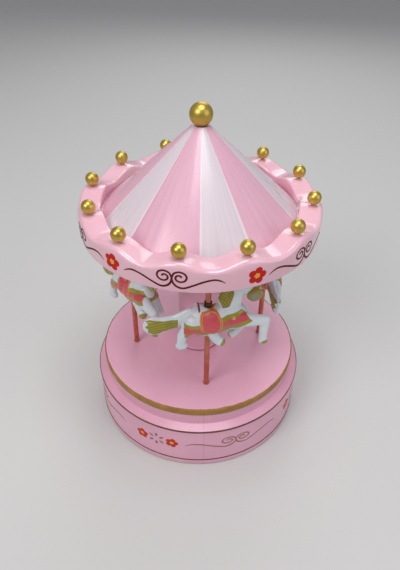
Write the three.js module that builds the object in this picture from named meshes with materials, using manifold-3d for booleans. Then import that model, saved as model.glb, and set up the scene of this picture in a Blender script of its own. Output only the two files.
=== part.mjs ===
// A wind-up carousel music box. Millimetres, +Z up, origin on the floor under the centre of the drum.
// Angles round the vertical axis are counted from -Y (the front) towards +X.
import * as THREE from "three";
import { mergeVertices } from "three/addons/utils/BufferGeometryUtils.js";
import Module from "manifold-3d";

const wasm = await Module();
wasm.setup();

// Clearances
const seatGap = 0.3; // between pieces that rest on or fit in each other
const spinGap = 0.6; // between the turntable and the deck under it
const shaftGap = 0.15; // round a shaft that turns in its hole

// Drum and deck
const drumRadius = 57.3;
const drumHeight = 27.6;
const drumWall = 2.3;
const lipReach = 0.2; // how far the foot lip stands out of the drum wall
const lipHeight = 4.2;
const coverRecess = 1.5; // the bottom cover sits this far up inside the drum
const coverThickness = 2.0;
const ledgeWidth = 4.3; // step between the drum and the raised deck
const ledgeDrop = 1.5;
const deckRise = 8.4; // from the drum's top edge to the deck's top
const deckWall = 2.0;

// Turntable, column and poles
const turntableEdge = 3.9;
const turntableSkin = 2.0;
const turntableOverhang = 0.5;
const columnRadius = 11.0;
const columnWall = 1.6;
const standHeight = 78.8; // from the turntable's top to the ceiling's underside
const horseCount = 4;
const horsePhase = 7.0; // degrees
const horseRing = 35.3;
const poleRadius = 1.35;
const poleFlare = 0.25; // of the foot ring round each pole
const collarWall = 0.4;
const collarHeight = 2.5;
const saddleDrop = 26.3; // from the ceiling's underside down to the horses' backs
const horseTurns = [0, 0, 0, 32]; // degrees each horse is turned inwards on its pole
const horseDrops = [0, 0, 0, 4.6]; // how far each one is set below the highest

// Canopy and roof
const canopyRadius = 57.2;
const canopyWall = 1.9;
const fasciaHeight = 11.7; // from the fascia's lower edge to the middle of the wavy top
const fasciaDrop = 0.9; // how far the fascia hangs below the ceiling's underside
const bandWidth = 10.7; // the glossy top band, seen from above
const lobeCount = 12;
const lobePhase = -8.86; // degrees
const lobeHeight = 1.6;
const roofHeight = 43.5; // of the cone, to the point that its sides aim at
const roofWall = 1.6;
const roofSeat = 5.0; // from the wavy top's middle down to the cone's foot
const ceilingThickness = 2.0;
const rimBallRadius = 3.2;
const rimBallInset = 4.9;
const finialRadius = 5.15;
const finialPeg = 1.6;
const finialSink = 4.0; // how far the ball's underside sits below the cone's aim point

// Movement
const bedStandoff = 3.5;
const bedThickness = 2.4;
const bedClearance = 1.2; // between the cylinder's pins and the bedplate
const axleRadius = 0.9;
const shaftRadius = 2.0;
const barrelRadius = 12.5;
const barrelWall = 1.0;
const springTurns = 4;
const springStrip = 0.45;
const crownTeeth = 40;
const crownPinionTeeth = 10;
const crownModule = 0.75;
const crownFace = 3.0;
const trainModule = 0.6;
const cylinderWheelTeeth = 24;
const idlerTeeth = 8;
const wormWheelTeeth = 16;
const wormRadius = 1.9;
const wheelWidth = 2.0;
const bracketThickness = 1.2;
const bracketRise = 3.0; // above the axles
const cylinderRadius = 6.4;
const noteCount = 18;
const notePitch = 1.0;
const pinHeight = 0.5;
const combThickness = 0.8;
const toothLength = 12.0;
const fanReach = 4.6;
const fanHeight = 2.4;
const screwRadius = 1.1;
const screwHead = 2.2;
const postRadius = 3.4;
const postRing = 45.5;

// Heights and radii that follow
const roundSides = 40; // facets round the large turned pieces
const drumInside = drumRadius - drumWall;
const coverTop = coverRecess + coverThickness;
const ledgeRadius = drumRadius + seatGap;
const turntableRadius = ledgeRadius - ledgeWidth + 0.1;
const deckRadius = turntableRadius - turntableOverhang;
const deckFoot = drumHeight + seatGap;
const deckTop = drumHeight + deckRise;
const deckUnder = deckTop - deckWall;
const turntableFoot = deckTop + spinGap;
const turntableTop = turntableFoot + turntableEdge;
const ceilingUnder = turntableTop + standHeight;
const ceilingTop = ceilingUnder + ceilingThickness;
const horseBack = ceilingUnder - saddleDrop;
const fasciaFoot = ceilingUnder - fasciaDrop;
const waveMiddle = fasciaFoot + fasciaHeight;
const waveRoot = waveMiddle - 3.6;
const bandInner = canopyRadius - bandWidth;
const roofFoot = waveMiddle - roofSeat;
const roofRadius = bandInner - seatGap;
const roofAim = roofFoot + roofHeight;
const finialHeight = roofAim - finialSink + finialRadius;
const rimRing = canopyRadius - rimBallInset;
const rimBallHeight = waveMiddle + lobeHeight + seatGap + rimBallRadius;
const bedFoot = coverTop + bedStandoff;
const bedTop = bedFoot + bedThickness;
const axleZ = bedTop + cylinderRadius + pinHeight + bedClearance;
const crownRadius = (crownModule * crownTeeth) / 2;
const crownPinionRadius = (crownModule * crownPinionTeeth) / 2;
const crownPlane = axleZ + crownPinionRadius;
const crownUnder = crownPlane + crownModule;
const barrelFoot = bedTop + seatGap;
const lidThickness = 1.2;
const lidTop = crownUnder - 0.8;
const barrelTop = lidTop - lidThickness - seatGap;
const cylinderWheelRadius = (trainModule * cylinderWheelTeeth) / 2;
const idlerRadius = (trainModule * idlerTeeth) / 2;
const wormWheelRadius = (trainModule * wormWheelTeeth) / 2;
const cylinderLength = noteCount * notePitch + 1;

// Stations along the tune cylinder's axle, going out from the winding shaft
const pinionStart = crownRadius - crownFace / 2;
const pinionEnd = crownRadius + crownFace / 2;
const innerBracketX = pinionEnd + spinGap;
const cylinderStart = innerBracketX + bracketThickness + spinGap;
const cylinderEnd = cylinderStart + cylinderLength;
const wheelX = cylinderEnd + spinGap;
const outerBracketX = wheelX + wheelWidth + spinGap;
const wormWheelX = outerBracketX + bracketThickness + spinGap;
const endBracketX = wormWheelX + wheelWidth + 2 * spinGap;
const idlerY = cylinderWheelRadius + idlerRadius;
const wormY = idlerY + wormWheelRadius + wormRadius;
const wormX = wormWheelX + wheelWidth / 2;
const fanFoot = axleZ + wormWheelRadius + trainModule + 0.4;
const governorTop = fanFoot + fanHeight + 1.8;

const root = new THREE.Group();

// Helpers
function finish(color, roughness, metalness = 0) {
  return new THREE.MeshStandardMaterial({ color, roughness, metalness });
}

const finishes = {
  pinkShell: () => finish(0xe9a9c3, 0.35),
  pinkGloss: () => finish(0xf0b3cb, 0.15),
  roofPrint: () => finish(0xf3cfdc, 0.3),
  gold: () => finish(0xc9a227, 0.25, 0.9),
  copper: () => finish(0xb06a3a, 0.3, 0.9),
  horse: () => finish(0xe8eef6, 0.3),
  brass: () => finish(0xc8a24a, 0.3, 0.9),
  steel: () => finish(0x9aa0a6, 0.3, 0.9),
  zinc: () => finish(0xa9adb0, 0.5, 0.8),
  blackPlastic: () => finish(0x2a2a2c, 0.5),
};

function add(name, geometry, material, parent = root) {
  const mesh = new THREE.Mesh(geometry, finishes[material]());
  mesh.name = name;
  parent.add(mesh);
  return mesh;
}

function polar(radius, degrees) {
  const a = THREE.MathUtils.degToRad(degrees);
  return [radius * Math.sin(a), -radius * Math.cos(a)];
}

// [radius, height] pairs, turned about the vertical axis. An outline that doesn't
// start on the axis closes on itself.
function turned(outline, segments = 24) {
  const points = outline.map(([r, z]) => new THREE.Vector2(r, z));
  if (THREE.ShapeUtils.area(points) < 0) points.reverse();
  if (outline[0][0] > 0) points.push(points[0].clone());
  return new THREE.LatheGeometry(points, segments).rotateX(Math.PI / 2);
}

function disc(radius, low, high, segments = 24) {
  return turned([[0, low], [radius, low], [radius, high], [0, high]], segments);
}

function sleeve(inner, outer, low, high, segments = 24) {
  return turned([[inner, low], [outer, low], [outer, high], [inner, high]], segments);
}

function box(low, high) {
  const size = high.map((v, i) => v - low[i]);
  const centre = high.map((v, i) => (v + low[i]) / 2);
  return new THREE.BoxGeometry(...size).translate(...centre);
}

// Lays a geometry made along Z so that it runs along X.
function alongX(geometry) {
  return geometry.rotateY(Math.PI / 2);
}

function solidOf(geometry) {
  const bare = geometry.index ? geometry.toNonIndexed() : geometry.clone();
  bare.deleteAttribute("normal");
  bare.deleteAttribute("uv");
  const merged = mergeVertices(bare, 1e-4);
  return new wasm.Manifold(
    new wasm.Mesh({
      numProp: 3,
      vertProperties: merged.attributes.position.array,
      triVerts: new Uint32Array(merged.index.array),
    }),
  );
}

function geometryOf(solid) {
  const { vertProperties, triVerts } = solid.getMesh();
  return new THREE.BufferGeometry()
    .setAttribute("position", new THREE.BufferAttribute(vertProperties, 3))
    .setIndex(new THREE.BufferAttribute(triVerts, 1));
}

function joined(...geometries) {
  return geometryOf(geometries.map(solidOf).reduce((a, b) => a.add(b)));
}

function cut(geometry, ...tools) {
  return geometryOf(tools.map(solidOf).reduce((a, b) => a.subtract(b), solidOf(geometry)));
}

// A round bar from one point to another, with its own radius and a short cone at each end.
function limb(from, to, startRadius, endRadius, sides = 6) {
  const a = new THREE.Vector3(...from);
  const b = new THREE.Vector3(...to);
  const length = a.distanceTo(b);
  const turn = new THREE.Quaternion().setFromUnitVectors(
    new THREE.Vector3(0, 0, 1),
    b.clone().sub(a).normalize(),
  );
  return turned(
    [[0, -0.5 * startRadius], [startRadius, 0], [endRadius, length], [0, length + 0.5 * endRadius]],
    sides,
  )
    .applyQuaternion(turn)
    .translate(...from);
}

// The outline of a spur gear, with straight-sided teeth that leave room for a free mesh.
function gearGeometry(teeth, module, width, bore, toothShare, twist = 0) {
  const pitch = (2 * Math.PI) / teeth;
  const pitchRadius = (module * teeth) / 2;
  const rootRadius = pitchRadius - 1.1 * module;
  const tipRadius = pitchRadius + 0.75 * module;
  const rootHalf = (toothShare + 0.13) * pitch * 0.5;
  const tipHalf = (toothShare - 0.13) * pitch * 0.5;
  const outline = [];
  for (let i = 0; i < teeth; i++) {
    const middle = i * pitch;
    for (const [radius, offset] of [
      [rootRadius, -rootHalf],
      [tipRadius, -tipHalf],
      [tipRadius, tipHalf],
      [rootRadius, rootHalf],
    ])
      outline.push(new THREE.Vector2(
        radius * Math.cos(middle + offset),
        radius * Math.sin(middle + offset),
      ));
  }
  const shape = new THREE.Shape(outline);
  shape.holes.push(new THREE.Path().absarc(0, 0, bore, 0, 2 * Math.PI, true));
  const gear = new THREE.ExtrudeGeometry(shape, {
    depth: width,
    bevelEnabled: false,
    curveSegments: 4,
    steps: 1,
  });
  const position = gear.attributes.position;
  for (let i = 0; i < position.count; i++) {
    const turn = (position.getZ(i) - width / 2) * twist;
    const x = position.getX(i);
    const y = position.getY(i);
    position.setXY(i, x * Math.cos(turn) - y * Math.sin(turn), x * Math.sin(turn) + y * Math.cos(turn));
  }
  return gear;
}

// Base
function drumShell() {
  const inside = drumInside;
  const seat = inside - 1.6;
  const shoulder = coverTop + seatGap;
  return turned(
    [[drumRadius - 0.9, 0], [drumRadius, 1.0], [drumRadius + lipReach, lipHeight - 0.6],
      [drumRadius, lipHeight], [drumRadius, drumHeight], [inside, drumHeight],
      [inside, shoulder + 3.4], [seat, shoulder + 1.8], [seat, shoulder], [inside, shoulder],
      [inside, 0]],
    roundSides,
  );
}

function postPlaces() {
  return [30, 150, 270].map((angle) => polar(postRing, angle));
}

function baseDeck() {
  const hubRadius = shaftRadius + 6.0;
  const bushSeat = shaftRadius + 3.0 + seatGap;
  const skirt = drumInside - seatGap;
  const shell = turned(
    [[bushSeat, deckTop], [deckRadius - 0.6, deckTop], [deckRadius, deckTop - 0.6],
      [deckRadius, deckFoot + ledgeDrop + 0.9], [deckRadius + 0.3, deckFoot + ledgeDrop + 0.4],
      [ledgeRadius - 0.5, deckFoot + 0.5], [ledgeRadius, deckFoot], [skirt, deckFoot],
      [skirt, deckFoot - 3.4], [skirt - deckWall, deckFoot - 3.4], [deckRadius - deckWall, deckFoot],
      [deckRadius - deckWall, deckUnder], [hubRadius, deckUnder], [hubRadius, deckUnder - 2.7],
      [bushSeat, deckUnder - 2.7]],
    roundSides,
  );
  const postFoot = coverTop + seatGap;
  const posts = postPlaces().map(([x, y]) =>
    disc(postRadius, postFoot, deckUnder + 0.5, 12).translate(x, y, 0));
  const holes = postPlaces().map(([x, y]) =>
    disc(screwRadius + seatGap, postFoot - 1, postFoot + 9, 8).translate(x, y, 0));
  return cut(joined(shell, ...posts), ...holes);
}

function deckBush() {
  const bore = shaftRadius + shaftGap;
  const outer = shaftRadius + 3.0;
  const low = deckUnder - 3.4;
  return turned(
    [[bore, low], [outer + 1.6, low], [outer + 1.6, low + 0.4], [outer, low + 0.4],
      [outer, deckTop - 0.2], [bore, deckTop - 0.2]],
    24,
  );
}

function movementScrewPlaces() {
  return [
    [-crownRadius + 3, crownRadius + 1],
    [-crownRadius + 3, -crownRadius - 1],
    [cylinderEnd, -cylinderRadius - toothLength - 5],
  ];
}

function bottomCover() {
  const radius = drumInside - seatGap;
  const plate = disc(radius, coverRecess, coverTop, roundSides);
  const standoffs = movementScrewPlaces().map(([x, y]) =>
    disc(postRadius, coverTop - 0.5, bedFoot - seatGap, 12).translate(x, y, 0));
  const screwHoles = [...postPlaces(), ...movementScrewPlaces()].flatMap(([x, y]) => [
    disc(screwRadius + seatGap, coverRecess - 1, bedFoot + 1, 8).translate(x, y, 0),
    disc(screwHead + seatGap, coverRecess - 1, coverRecess + 1.2, 10).translate(x, y, 0),
  ]);
  const soundHoles = [0, 60, 120, 180, 240, 300].map((angle) => {
    const [x, y] = polar(postRing / 2, angle + 15);
    return disc(2.4, coverRecess - 1, coverTop + 1, 10).translate(x - 4, y, 0);
  });
  return cut(joined(plate, ...standoffs), ...screwHoles, ...soundHoles);
}

function screw(x, y, headZ, length) {
  const top = headZ + 0.9;
  const body = turned(
    [[0, headZ], [screwHead, headZ], [screwHead, top], [screwRadius, top],
      [screwRadius, headZ + length - 0.8], [0, headZ + length]],
    8,
  );
  const slot = box([-screwHead, -0.25, headZ - 0.5], [screwHead, 0.25, headZ + 0.4]);
  return cut(body, slot).translate(x, y, 0);
}

// Movement, fixed pieces
function bedplate() {
  const shape = new THREE.Shape();
  const left = -crownRadius - 1;
  const right = endBracketX + bracketThickness + 1.5;
  const near = -cylinderRadius - toothLength - 9;
  const far = wormY + 3;
  const corner = 5;
  shape.moveTo(left + corner, near);
  shape.lineTo(right - 2 * corner, near);
  shape.lineTo(right, near + 3 * corner);
  shape.lineTo(right, far - corner);
  shape.lineTo(right - corner, far);
  shape.lineTo(left + corner, far);
  shape.lineTo(left, far - corner);
  shape.lineTo(left, near + corner);
  shape.closePath();
  const plate = new THREE.ExtrudeGeometry(shape, { depth: bedThickness, bevelEnabled: false })
    .translate(0, 0, bedFoot);
  const restHigh = axleZ - combThickness / 2 - seatGap;
  const rest = box(
    [cylinderStart - 1, near + 1, bedTop - 0.5],
    [cylinderEnd + 1, -cylinderRadius - toothLength - 0.5, restHigh],
  );
  const holes = movementScrewPlaces().map(([x, y]) =>
    disc(screwRadius + seatGap, bedFoot - 1, bedTop - 0.6, 8).translate(x, y, 0));
  const combHoles = combScrewPlaces().map(([x, y]) =>
    disc(screwRadius + seatGap, axleZ - 6, axleZ + 2, 8).translate(x, y, 0));
  const pivot = disc(shaftRadius + shaftGap, bedTop - 1.2, bedTop + 1, 16);
  const wormPivot = disc(axleRadius * 0.6 + shaftGap, bedTop - 1, bedTop + 1, 10)
    .translate(wormX, wormY, 0);
  return cut(joined(plate, rest), ...holes, ...combHoles, pivot, wormPivot);
}

function springBarrel() {
  const inner = barrelRadius - barrelWall;
  const hole = shaftRadius + shaftGap;
  return turned(
    [[hole, barrelFoot], [barrelRadius, barrelFoot], [barrelRadius, barrelTop], [inner, barrelTop],
      [inner, barrelFoot + 1.2], [hole, barrelFoot + 1.2]],
    32,
  );
}

function barrelLid() {
  return sleeve(shaftRadius + shaftGap, barrelRadius, lidTop - lidThickness, lidTop, 32);
}

// The mainspring: a flat strip wound in an even spiral, standing on edge in the barrel.
function mainspring() {
  const start = shaftRadius + 1.6;
  const end = barrelRadius - barrelWall - 0.5;
  const steps = springTurns * 12;
  const edge = (offset) =>
    Array.from({ length: steps + 1 }, (_, i) => {
      const radius = start + ((end - start) * i) / steps + offset;
      const angle = (2 * Math.PI * springTurns * i) / steps;
      return new THREE.Vector2(radius * Math.cos(angle), radius * Math.sin(angle));
    });
  const strip = new THREE.Shape([...edge(0), ...edge(-springStrip).reverse()]);
  const low = barrelFoot + 1.6;
  return new THREE.ExtrudeGeometry(strip, { depth: barrelTop - 0.4 - low, bevelEnabled: false })
    .translate(0, 0, low);
}

// An upright plate, bored for the axles that it carries.
function bracket(x, lowY, highY, boreYs) {
  const upright = box(
    [x, lowY, bedTop + seatGap],
    [x + bracketThickness, highY, axleZ + bracketRise],
  );
  const holes = boreYs.map((y) =>
    alongX(disc(axleRadius + shaftGap, -1, bracketThickness + 1, 12)).translate(x, y, axleZ));
  return cut(upright, ...holes);
}

function combScrewPlaces() {
  const y = -cylinderRadius - toothLength - 4.5;
  return [[cylinderStart + 4, y], [cylinderEnd - 4, y]];
}

// The comb: a steel plate slit into one tongue for each note.
function comb() {
  const tip = -cylinderRadius - pinHeight - seatGap;
  const rootY = tip - toothLength;
  const back = rootY - 7;
  const first = cylinderStart + 0.5;
  const width = noteCount * notePitch;
  const slit = 0.3 * notePitch;
  const shape = new THREE.Shape();
  shape.moveTo(first - 0.5, back);
  shape.lineTo(first + width + 0.5, back);
  shape.lineTo(first + width + 0.5, rootY);
  for (let i = noteCount - 1; i >= 0; i--) {
    const low = first + i * notePitch + slit / 2;
    const high = low + notePitch - slit;
    shape.lineTo(high, rootY);
    shape.lineTo(high, tip);
    shape.lineTo(low, tip);
    shape.lineTo(low, rootY);
  }
  shape.lineTo(first - 0.5, rootY);
  shape.closePath();
  for (const [x, y] of combScrewPlaces())
    shape.holes.push(new THREE.Path().absarc(x, y, screwRadius + seatGap, 0, 2 * Math.PI, true));
  return new THREE.ExtrudeGeometry(shape, {
    depth: combThickness,
    bevelEnabled: false,
    curveSegments: 3,
  }).translate(0, 0, axleZ - combThickness / 2);
}

// Movement, turning pieces
function windingShaft() {
  const low = bedTop - 1.0;
  const hubLow = crownUnder + 2.2 + seatGap;
  return turned(
    [[0, low], [shaftRadius, low], [shaftRadius, hubLow], [shaftRadius + 1.4, hubLow],
      [shaftRadius + 1.4, hubLow + 1.6], [shaftRadius, hubLow + 1.6],
      [shaftRadius, turntableTop - 1.0], [0, turntableTop - 1.0]],
    16,
  );
}

// A wheel whose teeth stand down from its face, round the winding shaft.
function crownWheel() {
  const outer = crownRadius + crownFace / 2;
  const inner = crownRadius - crownFace / 2;
  const web = sleeve(shaftRadius + seatGap, outer, crownUnder, crownUnder + 2.2, roundSides);
  const tip = crownPlane - 0.75 * crownModule;
  const half = 0.2 * Math.PI * crownModule;
  const tooth = new THREE.Shape([
    new THREE.Vector2(-1.3 * half, crownUnder + 0.2),
    new THREE.Vector2(-0.6 * half, tip),
    new THREE.Vector2(0.6 * half, tip),
    new THREE.Vector2(1.3 * half, crownUnder + 0.2),
  ]);
  const teeth = [];
  for (let i = 0; i < crownTeeth; i++) {
    const bar = new THREE.ExtrudeGeometry(tooth, { depth: outer - inner - 0.1, bevelEnabled: false });
    bar.applyMatrix4(new THREE.Matrix4().makeBasis(
      new THREE.Vector3(0, 1, 0),
      new THREE.Vector3(0, 0, 1),
      new THREE.Vector3(1, 0, 0),
    ));
    teeth.push(bar.translate(inner, 0, 0).rotateZ((2 * Math.PI * i) / crownTeeth));
  }
  return joined(web, ...teeth);
}

// The cylinder's axle, with the pinion that meets the crown wheel cut on its inner end.
function cylinderPinion() {
  const gear = gearGeometry(crownPinionTeeth, crownModule, crownFace, axleRadius / 2, 0.4);
  gear.rotateZ(Math.PI / crownPinionTeeth);
  const axle = disc(axleRadius, -0.2, outerBracketX + bracketThickness - pinionStart, 12);
  return alongX(joined(gear, axle)).translate(pinionStart, 0, axleZ);
}

// The tune cylinder, with a few pins for each note set by a fixed rule.
function tuneCylinder() {
  const pins = [];
  const steps = 24;
  for (let note = 0; note < noteCount; note++)
    for (const k of [0, 1]) {
      const angle = (2 * Math.PI * ((note * 7 + k * 11 + note * k) % steps)) / steps;
      const x = cylinderStart + 0.5 + (note + 0.5) * notePitch;
      pins.push(
        box([-0.2, -0.2, cylinderRadius - 0.6], [0.2, 0.2, cylinderRadius + pinHeight])
          .rotateX(angle)
          .translate(x, 0, axleZ),
      );
    }
  const barrel = alongX(sleeve(axleRadius + seatGap, cylinderRadius, 0, cylinderLength, 24))
    .translate(cylinderStart, 0, axleZ);
  return joined(barrel, ...pins);
}

function cylinderWheel() {
  const gear = gearGeometry(
    cylinderWheelTeeth, trainModule, wheelWidth, axleRadius + seatGap, 0.38);
  return alongX(gear).translate(wheelX, 0, axleZ);
}

function idlerPinion() {
  const gear = gearGeometry(idlerTeeth, trainModule, wheelWidth, 0.3, 0.38)
    .rotateZ(Math.PI / idlerTeeth);
  const axle = disc(axleRadius, -3, endBracketX + bracketThickness - wheelX, 12);
  return alongX(joined(gear, axle)).translate(wheelX, idlerY, axleZ);
}

function wormWheel() {
  const lead = Math.PI * trainModule;
  const slope = lead / (2 * Math.PI * wormRadius);
  const gear = gearGeometry(wormWheelTeeth, trainModule, wheelWidth, axleRadius + seatGap, 0.36,
    slope / wormWheelRadius);
  return alongX(gear).translate(wormWheelX, idlerY, axleZ);
}

// The worm: a one-start thread, made by twisting a lobed section as it rises.
function governorWorm() {
  const lead = Math.PI * trainModule;
  const rootRadius = wormRadius - 1.0 * trainModule;
  const tipRadius = wormRadius + 0.6 * trainModule;
  const sides = 12;
  const outline = Array.from({ length: sides }, (_, i) => {
    const angle = (2 * Math.PI * i) / sides;
    const away = Math.abs(Math.atan2(Math.sin(angle), Math.cos(angle))) / Math.PI;
    const share = THREE.MathUtils.clamp((0.5 - away) / 0.3, 0, 1);
    const radius = rootRadius + (tipRadius - rootRadius) * share;
    return new THREE.Vector2(radius * Math.cos(angle), radius * Math.sin(angle));
  });
  const length = 2.5 * lead;
  const thread = new THREE.ExtrudeGeometry(new THREE.Shape(outline), {
    depth: length,
    steps: 20,
    bevelEnabled: false,
  });
  const position = thread.attributes.position;
  for (let i = 0; i < position.count; i++) {
    const turn = ((position.getZ(i) - length / 2) / lead) * 2 * Math.PI;
    const x = position.getX(i);
    const y = position.getY(i);
    position.setXY(i, x * Math.cos(turn) - y * Math.sin(turn), x * Math.sin(turn) + y * Math.cos(turn));
  }
  thread.rotateZ(Math.PI / 2).translate(0, 0, axleZ - length / 2);
  const pin = disc(0.6 * axleRadius, bedTop - 0.8, governorTop - 0.3, 10);
  return joined(thread, pin).translate(wormX, wormY, 0);
}

// The air brake: two vanes on a small hub.
function governorFan() {
  const low = fanFoot;
  const high = low + fanHeight;
  const hub = disc(1.3, low, high, 12);
  const vane = box([-fanReach, -0.3, low + 0.2], [fanReach, 0.3, high - 0.2]);
  const hole = disc(0.6 * axleRadius + shaftGap, low - 1, high + 1, 10);
  return cut(joined(hub, vane), hole).translate(wormX, wormY, 0);
}

// The governor's end bracket also reaches over the fan to hold the worm's upper pivot.
function governorBracket() {
  const top = governorTop;
  const x = endBracketX;
  const upright = box([x, idlerY - 3, bedTop + seatGap], [x + bracketThickness, idlerY + 2.4, top]);
  const arm = box([wormX - 2, idlerY, top - 1.2], [x + bracketThickness, wormY + 2, top]);
  const idlerHole = alongX(disc(axleRadius + shaftGap, -1, bracketThickness + 1, 12))
    .translate(x, idlerY, axleZ);
  const wormHole = disc(0.6 * axleRadius + shaftGap, top - 3, top + 1, 10).translate(wormX, wormY, 0);
  return cut(joined(upright, arm), idlerHole, wormHole);
}

// Carousel
function turntable() {
  const spigot = columnRadius - columnWall - seatGap;
  const under = turntableTop - turntableSkin;
  const hub = shaftRadius + 5.0;
  const hole = shaftRadius + shaftGap;
  const plate = turned(
    [[hole, turntableFoot], [hub, turntableFoot], [hub, under], [turntableRadius - 2.2, under],
      [turntableRadius - 2.2, turntableFoot], [turntableRadius - 0.3, turntableFoot],
      [turntableRadius, turntableFoot + 0.4], [turntableRadius, turntableTop - 0.7],
      [turntableRadius - 0.6, turntableTop], [spigot, turntableTop],
      [spigot, turntableTop + 2.5], [spigot - 1.4, turntableTop + 2.5],
      [spigot - 1.4, turntableTop], [hole, turntableTop]],
    roundSides,
  );
  const sockets = horsePlaces().map(({ x, y }) =>
    disc(poleRadius + seatGap, under + 0.6, turntableTop + 1, 12).translate(x, y, 0));
  return cut(plate, ...sockets);
}

function turntableScrew() {
  const low = turntableTop + seatGap;
  return turned([[0, low], [shaftRadius + 2.2, low], [shaftRadius + 1.6, low + 1.8], [0, low + 1.8]], 12);
}

function centreColumn() {
  const low = turntableTop + seatGap;
  const inner = columnRadius - columnWall;
  return turned(
    [[inner, low], [columnRadius + 0.7, low], [columnRadius + 0.7, low + 0.8], [columnRadius, low + 1.5],
      [columnRadius, ceilingUnder - seatGap], [inner, ceilingUnder - seatGap]],
    36,
  );
}

function horsePlaces() {
  return Array.from({ length: horseCount }, (_, i) => {
    const angle = horsePhase + (360 * i) / horseCount;
    const [x, y] = polar(horseRing, angle);
    return { x, y, turn: THREE.MathUtils.degToRad(angle) };
  });
}

function pole() {
  const low = turntableTop - turntableSkin + 0.6 + seatGap;
  const foot = turntableTop + 0.1;
  return turned(
    [[0, low], [poleRadius, low], [poleRadius, foot], [poleRadius + poleFlare, foot],
      [poleRadius + 0.8 * poleFlare, foot + 0.8], [poleRadius, foot + 1.6],
      [poleRadius, ceilingTop - 0.5], [0, ceilingTop - 0.5]],
    8,
  );
}

// One galloping horse facing +X, its pole on the vertical axis; the outer side is -Y.
// Places are its reach forward, out to the side and down from its back.
function horse() {
  const at = (forward, side, drop) => [forward, -side, horseBack - drop];
  const ellipsoid = (t, s, drop, [a, b, c]) =>
    new THREE.SphereGeometry(1, 8, 6).rotateX(Math.PI / 2).scale(a, b, c).translate(...at(t, s, drop));
  const trunk = [
    ellipsoid(4.5, 0, 8.2, [14.5, 6.6, 8.2]),
    ellipsoid(-3, 0, 7.4, [7.4, 6.4, 8.0]),
    ellipsoid(13, 0, 7.2, [7.6, 6.0, 7.6]),
  ];
  const neckAndHead = [
    limb(at(11, 0, 4), at(13, 0, -11), 6.4, 4.2, 7),
    limb(at(12.5, 0, -14), at(20.6, 0, -7.6), 4.3, 2.7, 7),
    limb(at(12.2, 1.4, -15), at(11.2, 2.3, -19.8), 1.5, 0.5, 4),
    limb(at(12.2, -1.4, -15), at(11.2, -2.3, -19.8), 1.5, 0.5, 4),
    limb(at(6.5, 0, -2), at(9.6, 0, -13), 2.4, 2.4, 6),
  ];
  const legs = [
    limb(at(14, 3.8, 9), at(27.4, 4.4, 6.6), 4.0, 2.2),
    limb(at(27.6, 4.4, 6), at(26.4, 4.8, 24.2), 2.3, 2.1),
    limb(at(13, -3.8, 9), at(18.4, -4.6, 14.6), 3.8, 2.3),
    limb(at(18.4, -4.6, 14.6), at(10.4, -4.8, 15.4), 2.2, 1.7),
    limb(at(-4, 3.8, 9), at(-12.8, 4.8, 19.2), 5.0, 2.2),
    limb(at(-2, -3.8, 10), at(1.4, -4.8, 17.4), 4.6, 2.2),
    limb(at(1.4, -4.8, 17.4), at(7.4, -4.8, 22.6), 2.1, 2.2),
  ];
  const tail = [
    limb(at(-8.6, 0, 2.6), at(-15.5, 0, 3.2), 2.0, 2.8),
    limb(at(-15.5, 0, 3.2), at(-26.4, 0, 8.2), 2.8, 4.0),
  ];
  const bore = disc(poleRadius + seatGap, turntableTop, ceilingUnder, 8);
  return cut(joined(...trunk, ...neckAndHead, ...legs, ...tail), bore);
}

function poleCollar() {
  const low = horseBack + 0.5;
  const bore = poleRadius + shaftGap;
  return sleeve(bore, bore + collarWall, low, low + collarHeight, 8);
}

// Canopy
function ceiling() {
  const spigot = columnRadius - columnWall - seatGap;
  const plate = turned(
    [[spigot - 1.4, ceilingUnder - 2.5], [spigot, ceilingUnder - 2.5], [spigot, ceilingUnder],
      [canopyRadius - canopyWall - seatGap, ceilingUnder],
      [canopyRadius - canopyWall - seatGap, ceilingTop], [spigot - 1.4, ceilingTop]],
    roundSides,
  );
  const sockets = horsePlaces().map(({ x, y }) =>
    disc(poleRadius + seatGap, ceilingUnder - 1, ceilingTop + 1, 12).translate(x, y, 0));
  return cut(plate, ...sockets);
}

// The canopy ring: fascia, wavy glossy band and inner wall in one moulding.
function canopyRing() {
  const r = canopyRadius;
  const inner = bandInner;
  const wall = canopyWall;
  const flange = inner - 2.4;
  const high = waveMiddle;
  const outline = [
    [r, fasciaFoot], [r, waveRoot], [r - 0.7, high - 1.1], [r - 2.6, high],
    [inner + 1.4, high - 0.2], [inner, high - 1.6],
    [inner, roofFoot - seatGap], [flange, roofFoot - seatGap], [flange, roofFoot - seatGap - 1.6],
    [inner, ceilingTop + seatGap],
    [inner + wall, ceilingTop + seatGap], [inner + wall, high - 3.2], [r - 3.0, high - 3.2],
    [r - wall, waveRoot - 1], [r - wall, fasciaFoot],
  ];
  const ring = turned(outline, 4 * lobeCount).rotateZ(THREE.MathUtils.degToRad(lobePhase - 90));
  const position = ring.attributes.position;
  for (let i = 0; i < position.count; i++) {
    const share = THREE.MathUtils.clamp((position.getZ(i) - waveRoot) / (high - waveRoot), 0, 1);
    const angle = Math.atan2(position.getX(i), -position.getY(i));
    const wave = Math.cos(lobeCount * (angle - THREE.MathUtils.degToRad(lobePhase)));
    position.setZ(i, position.getZ(i) + share * lobeHeight * wave);
  }
  const holes = lobeAngles().map((angle) => {
    const [x, y] = polar(rimRing, angle);
    return disc(0.9 + seatGap, high - 5, high + 5, 6).translate(x, y, 0);
  });
  return cut(ring, ...holes);
}

function lobeAngles() {
  return Array.from({ length: lobeCount }, (_, i) => lobePhase + (360 * i) / lobeCount);
}

function rimBall() {
  const z = rimBallHeight;
  const ball = new THREE.SphereGeometry(rimBallRadius, 8, 6).rotateX(Math.PI / 2).translate(0, 0, z);
  return joined(ball, disc(0.9, z - rimBallRadius - 3, z, 6));
}

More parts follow.
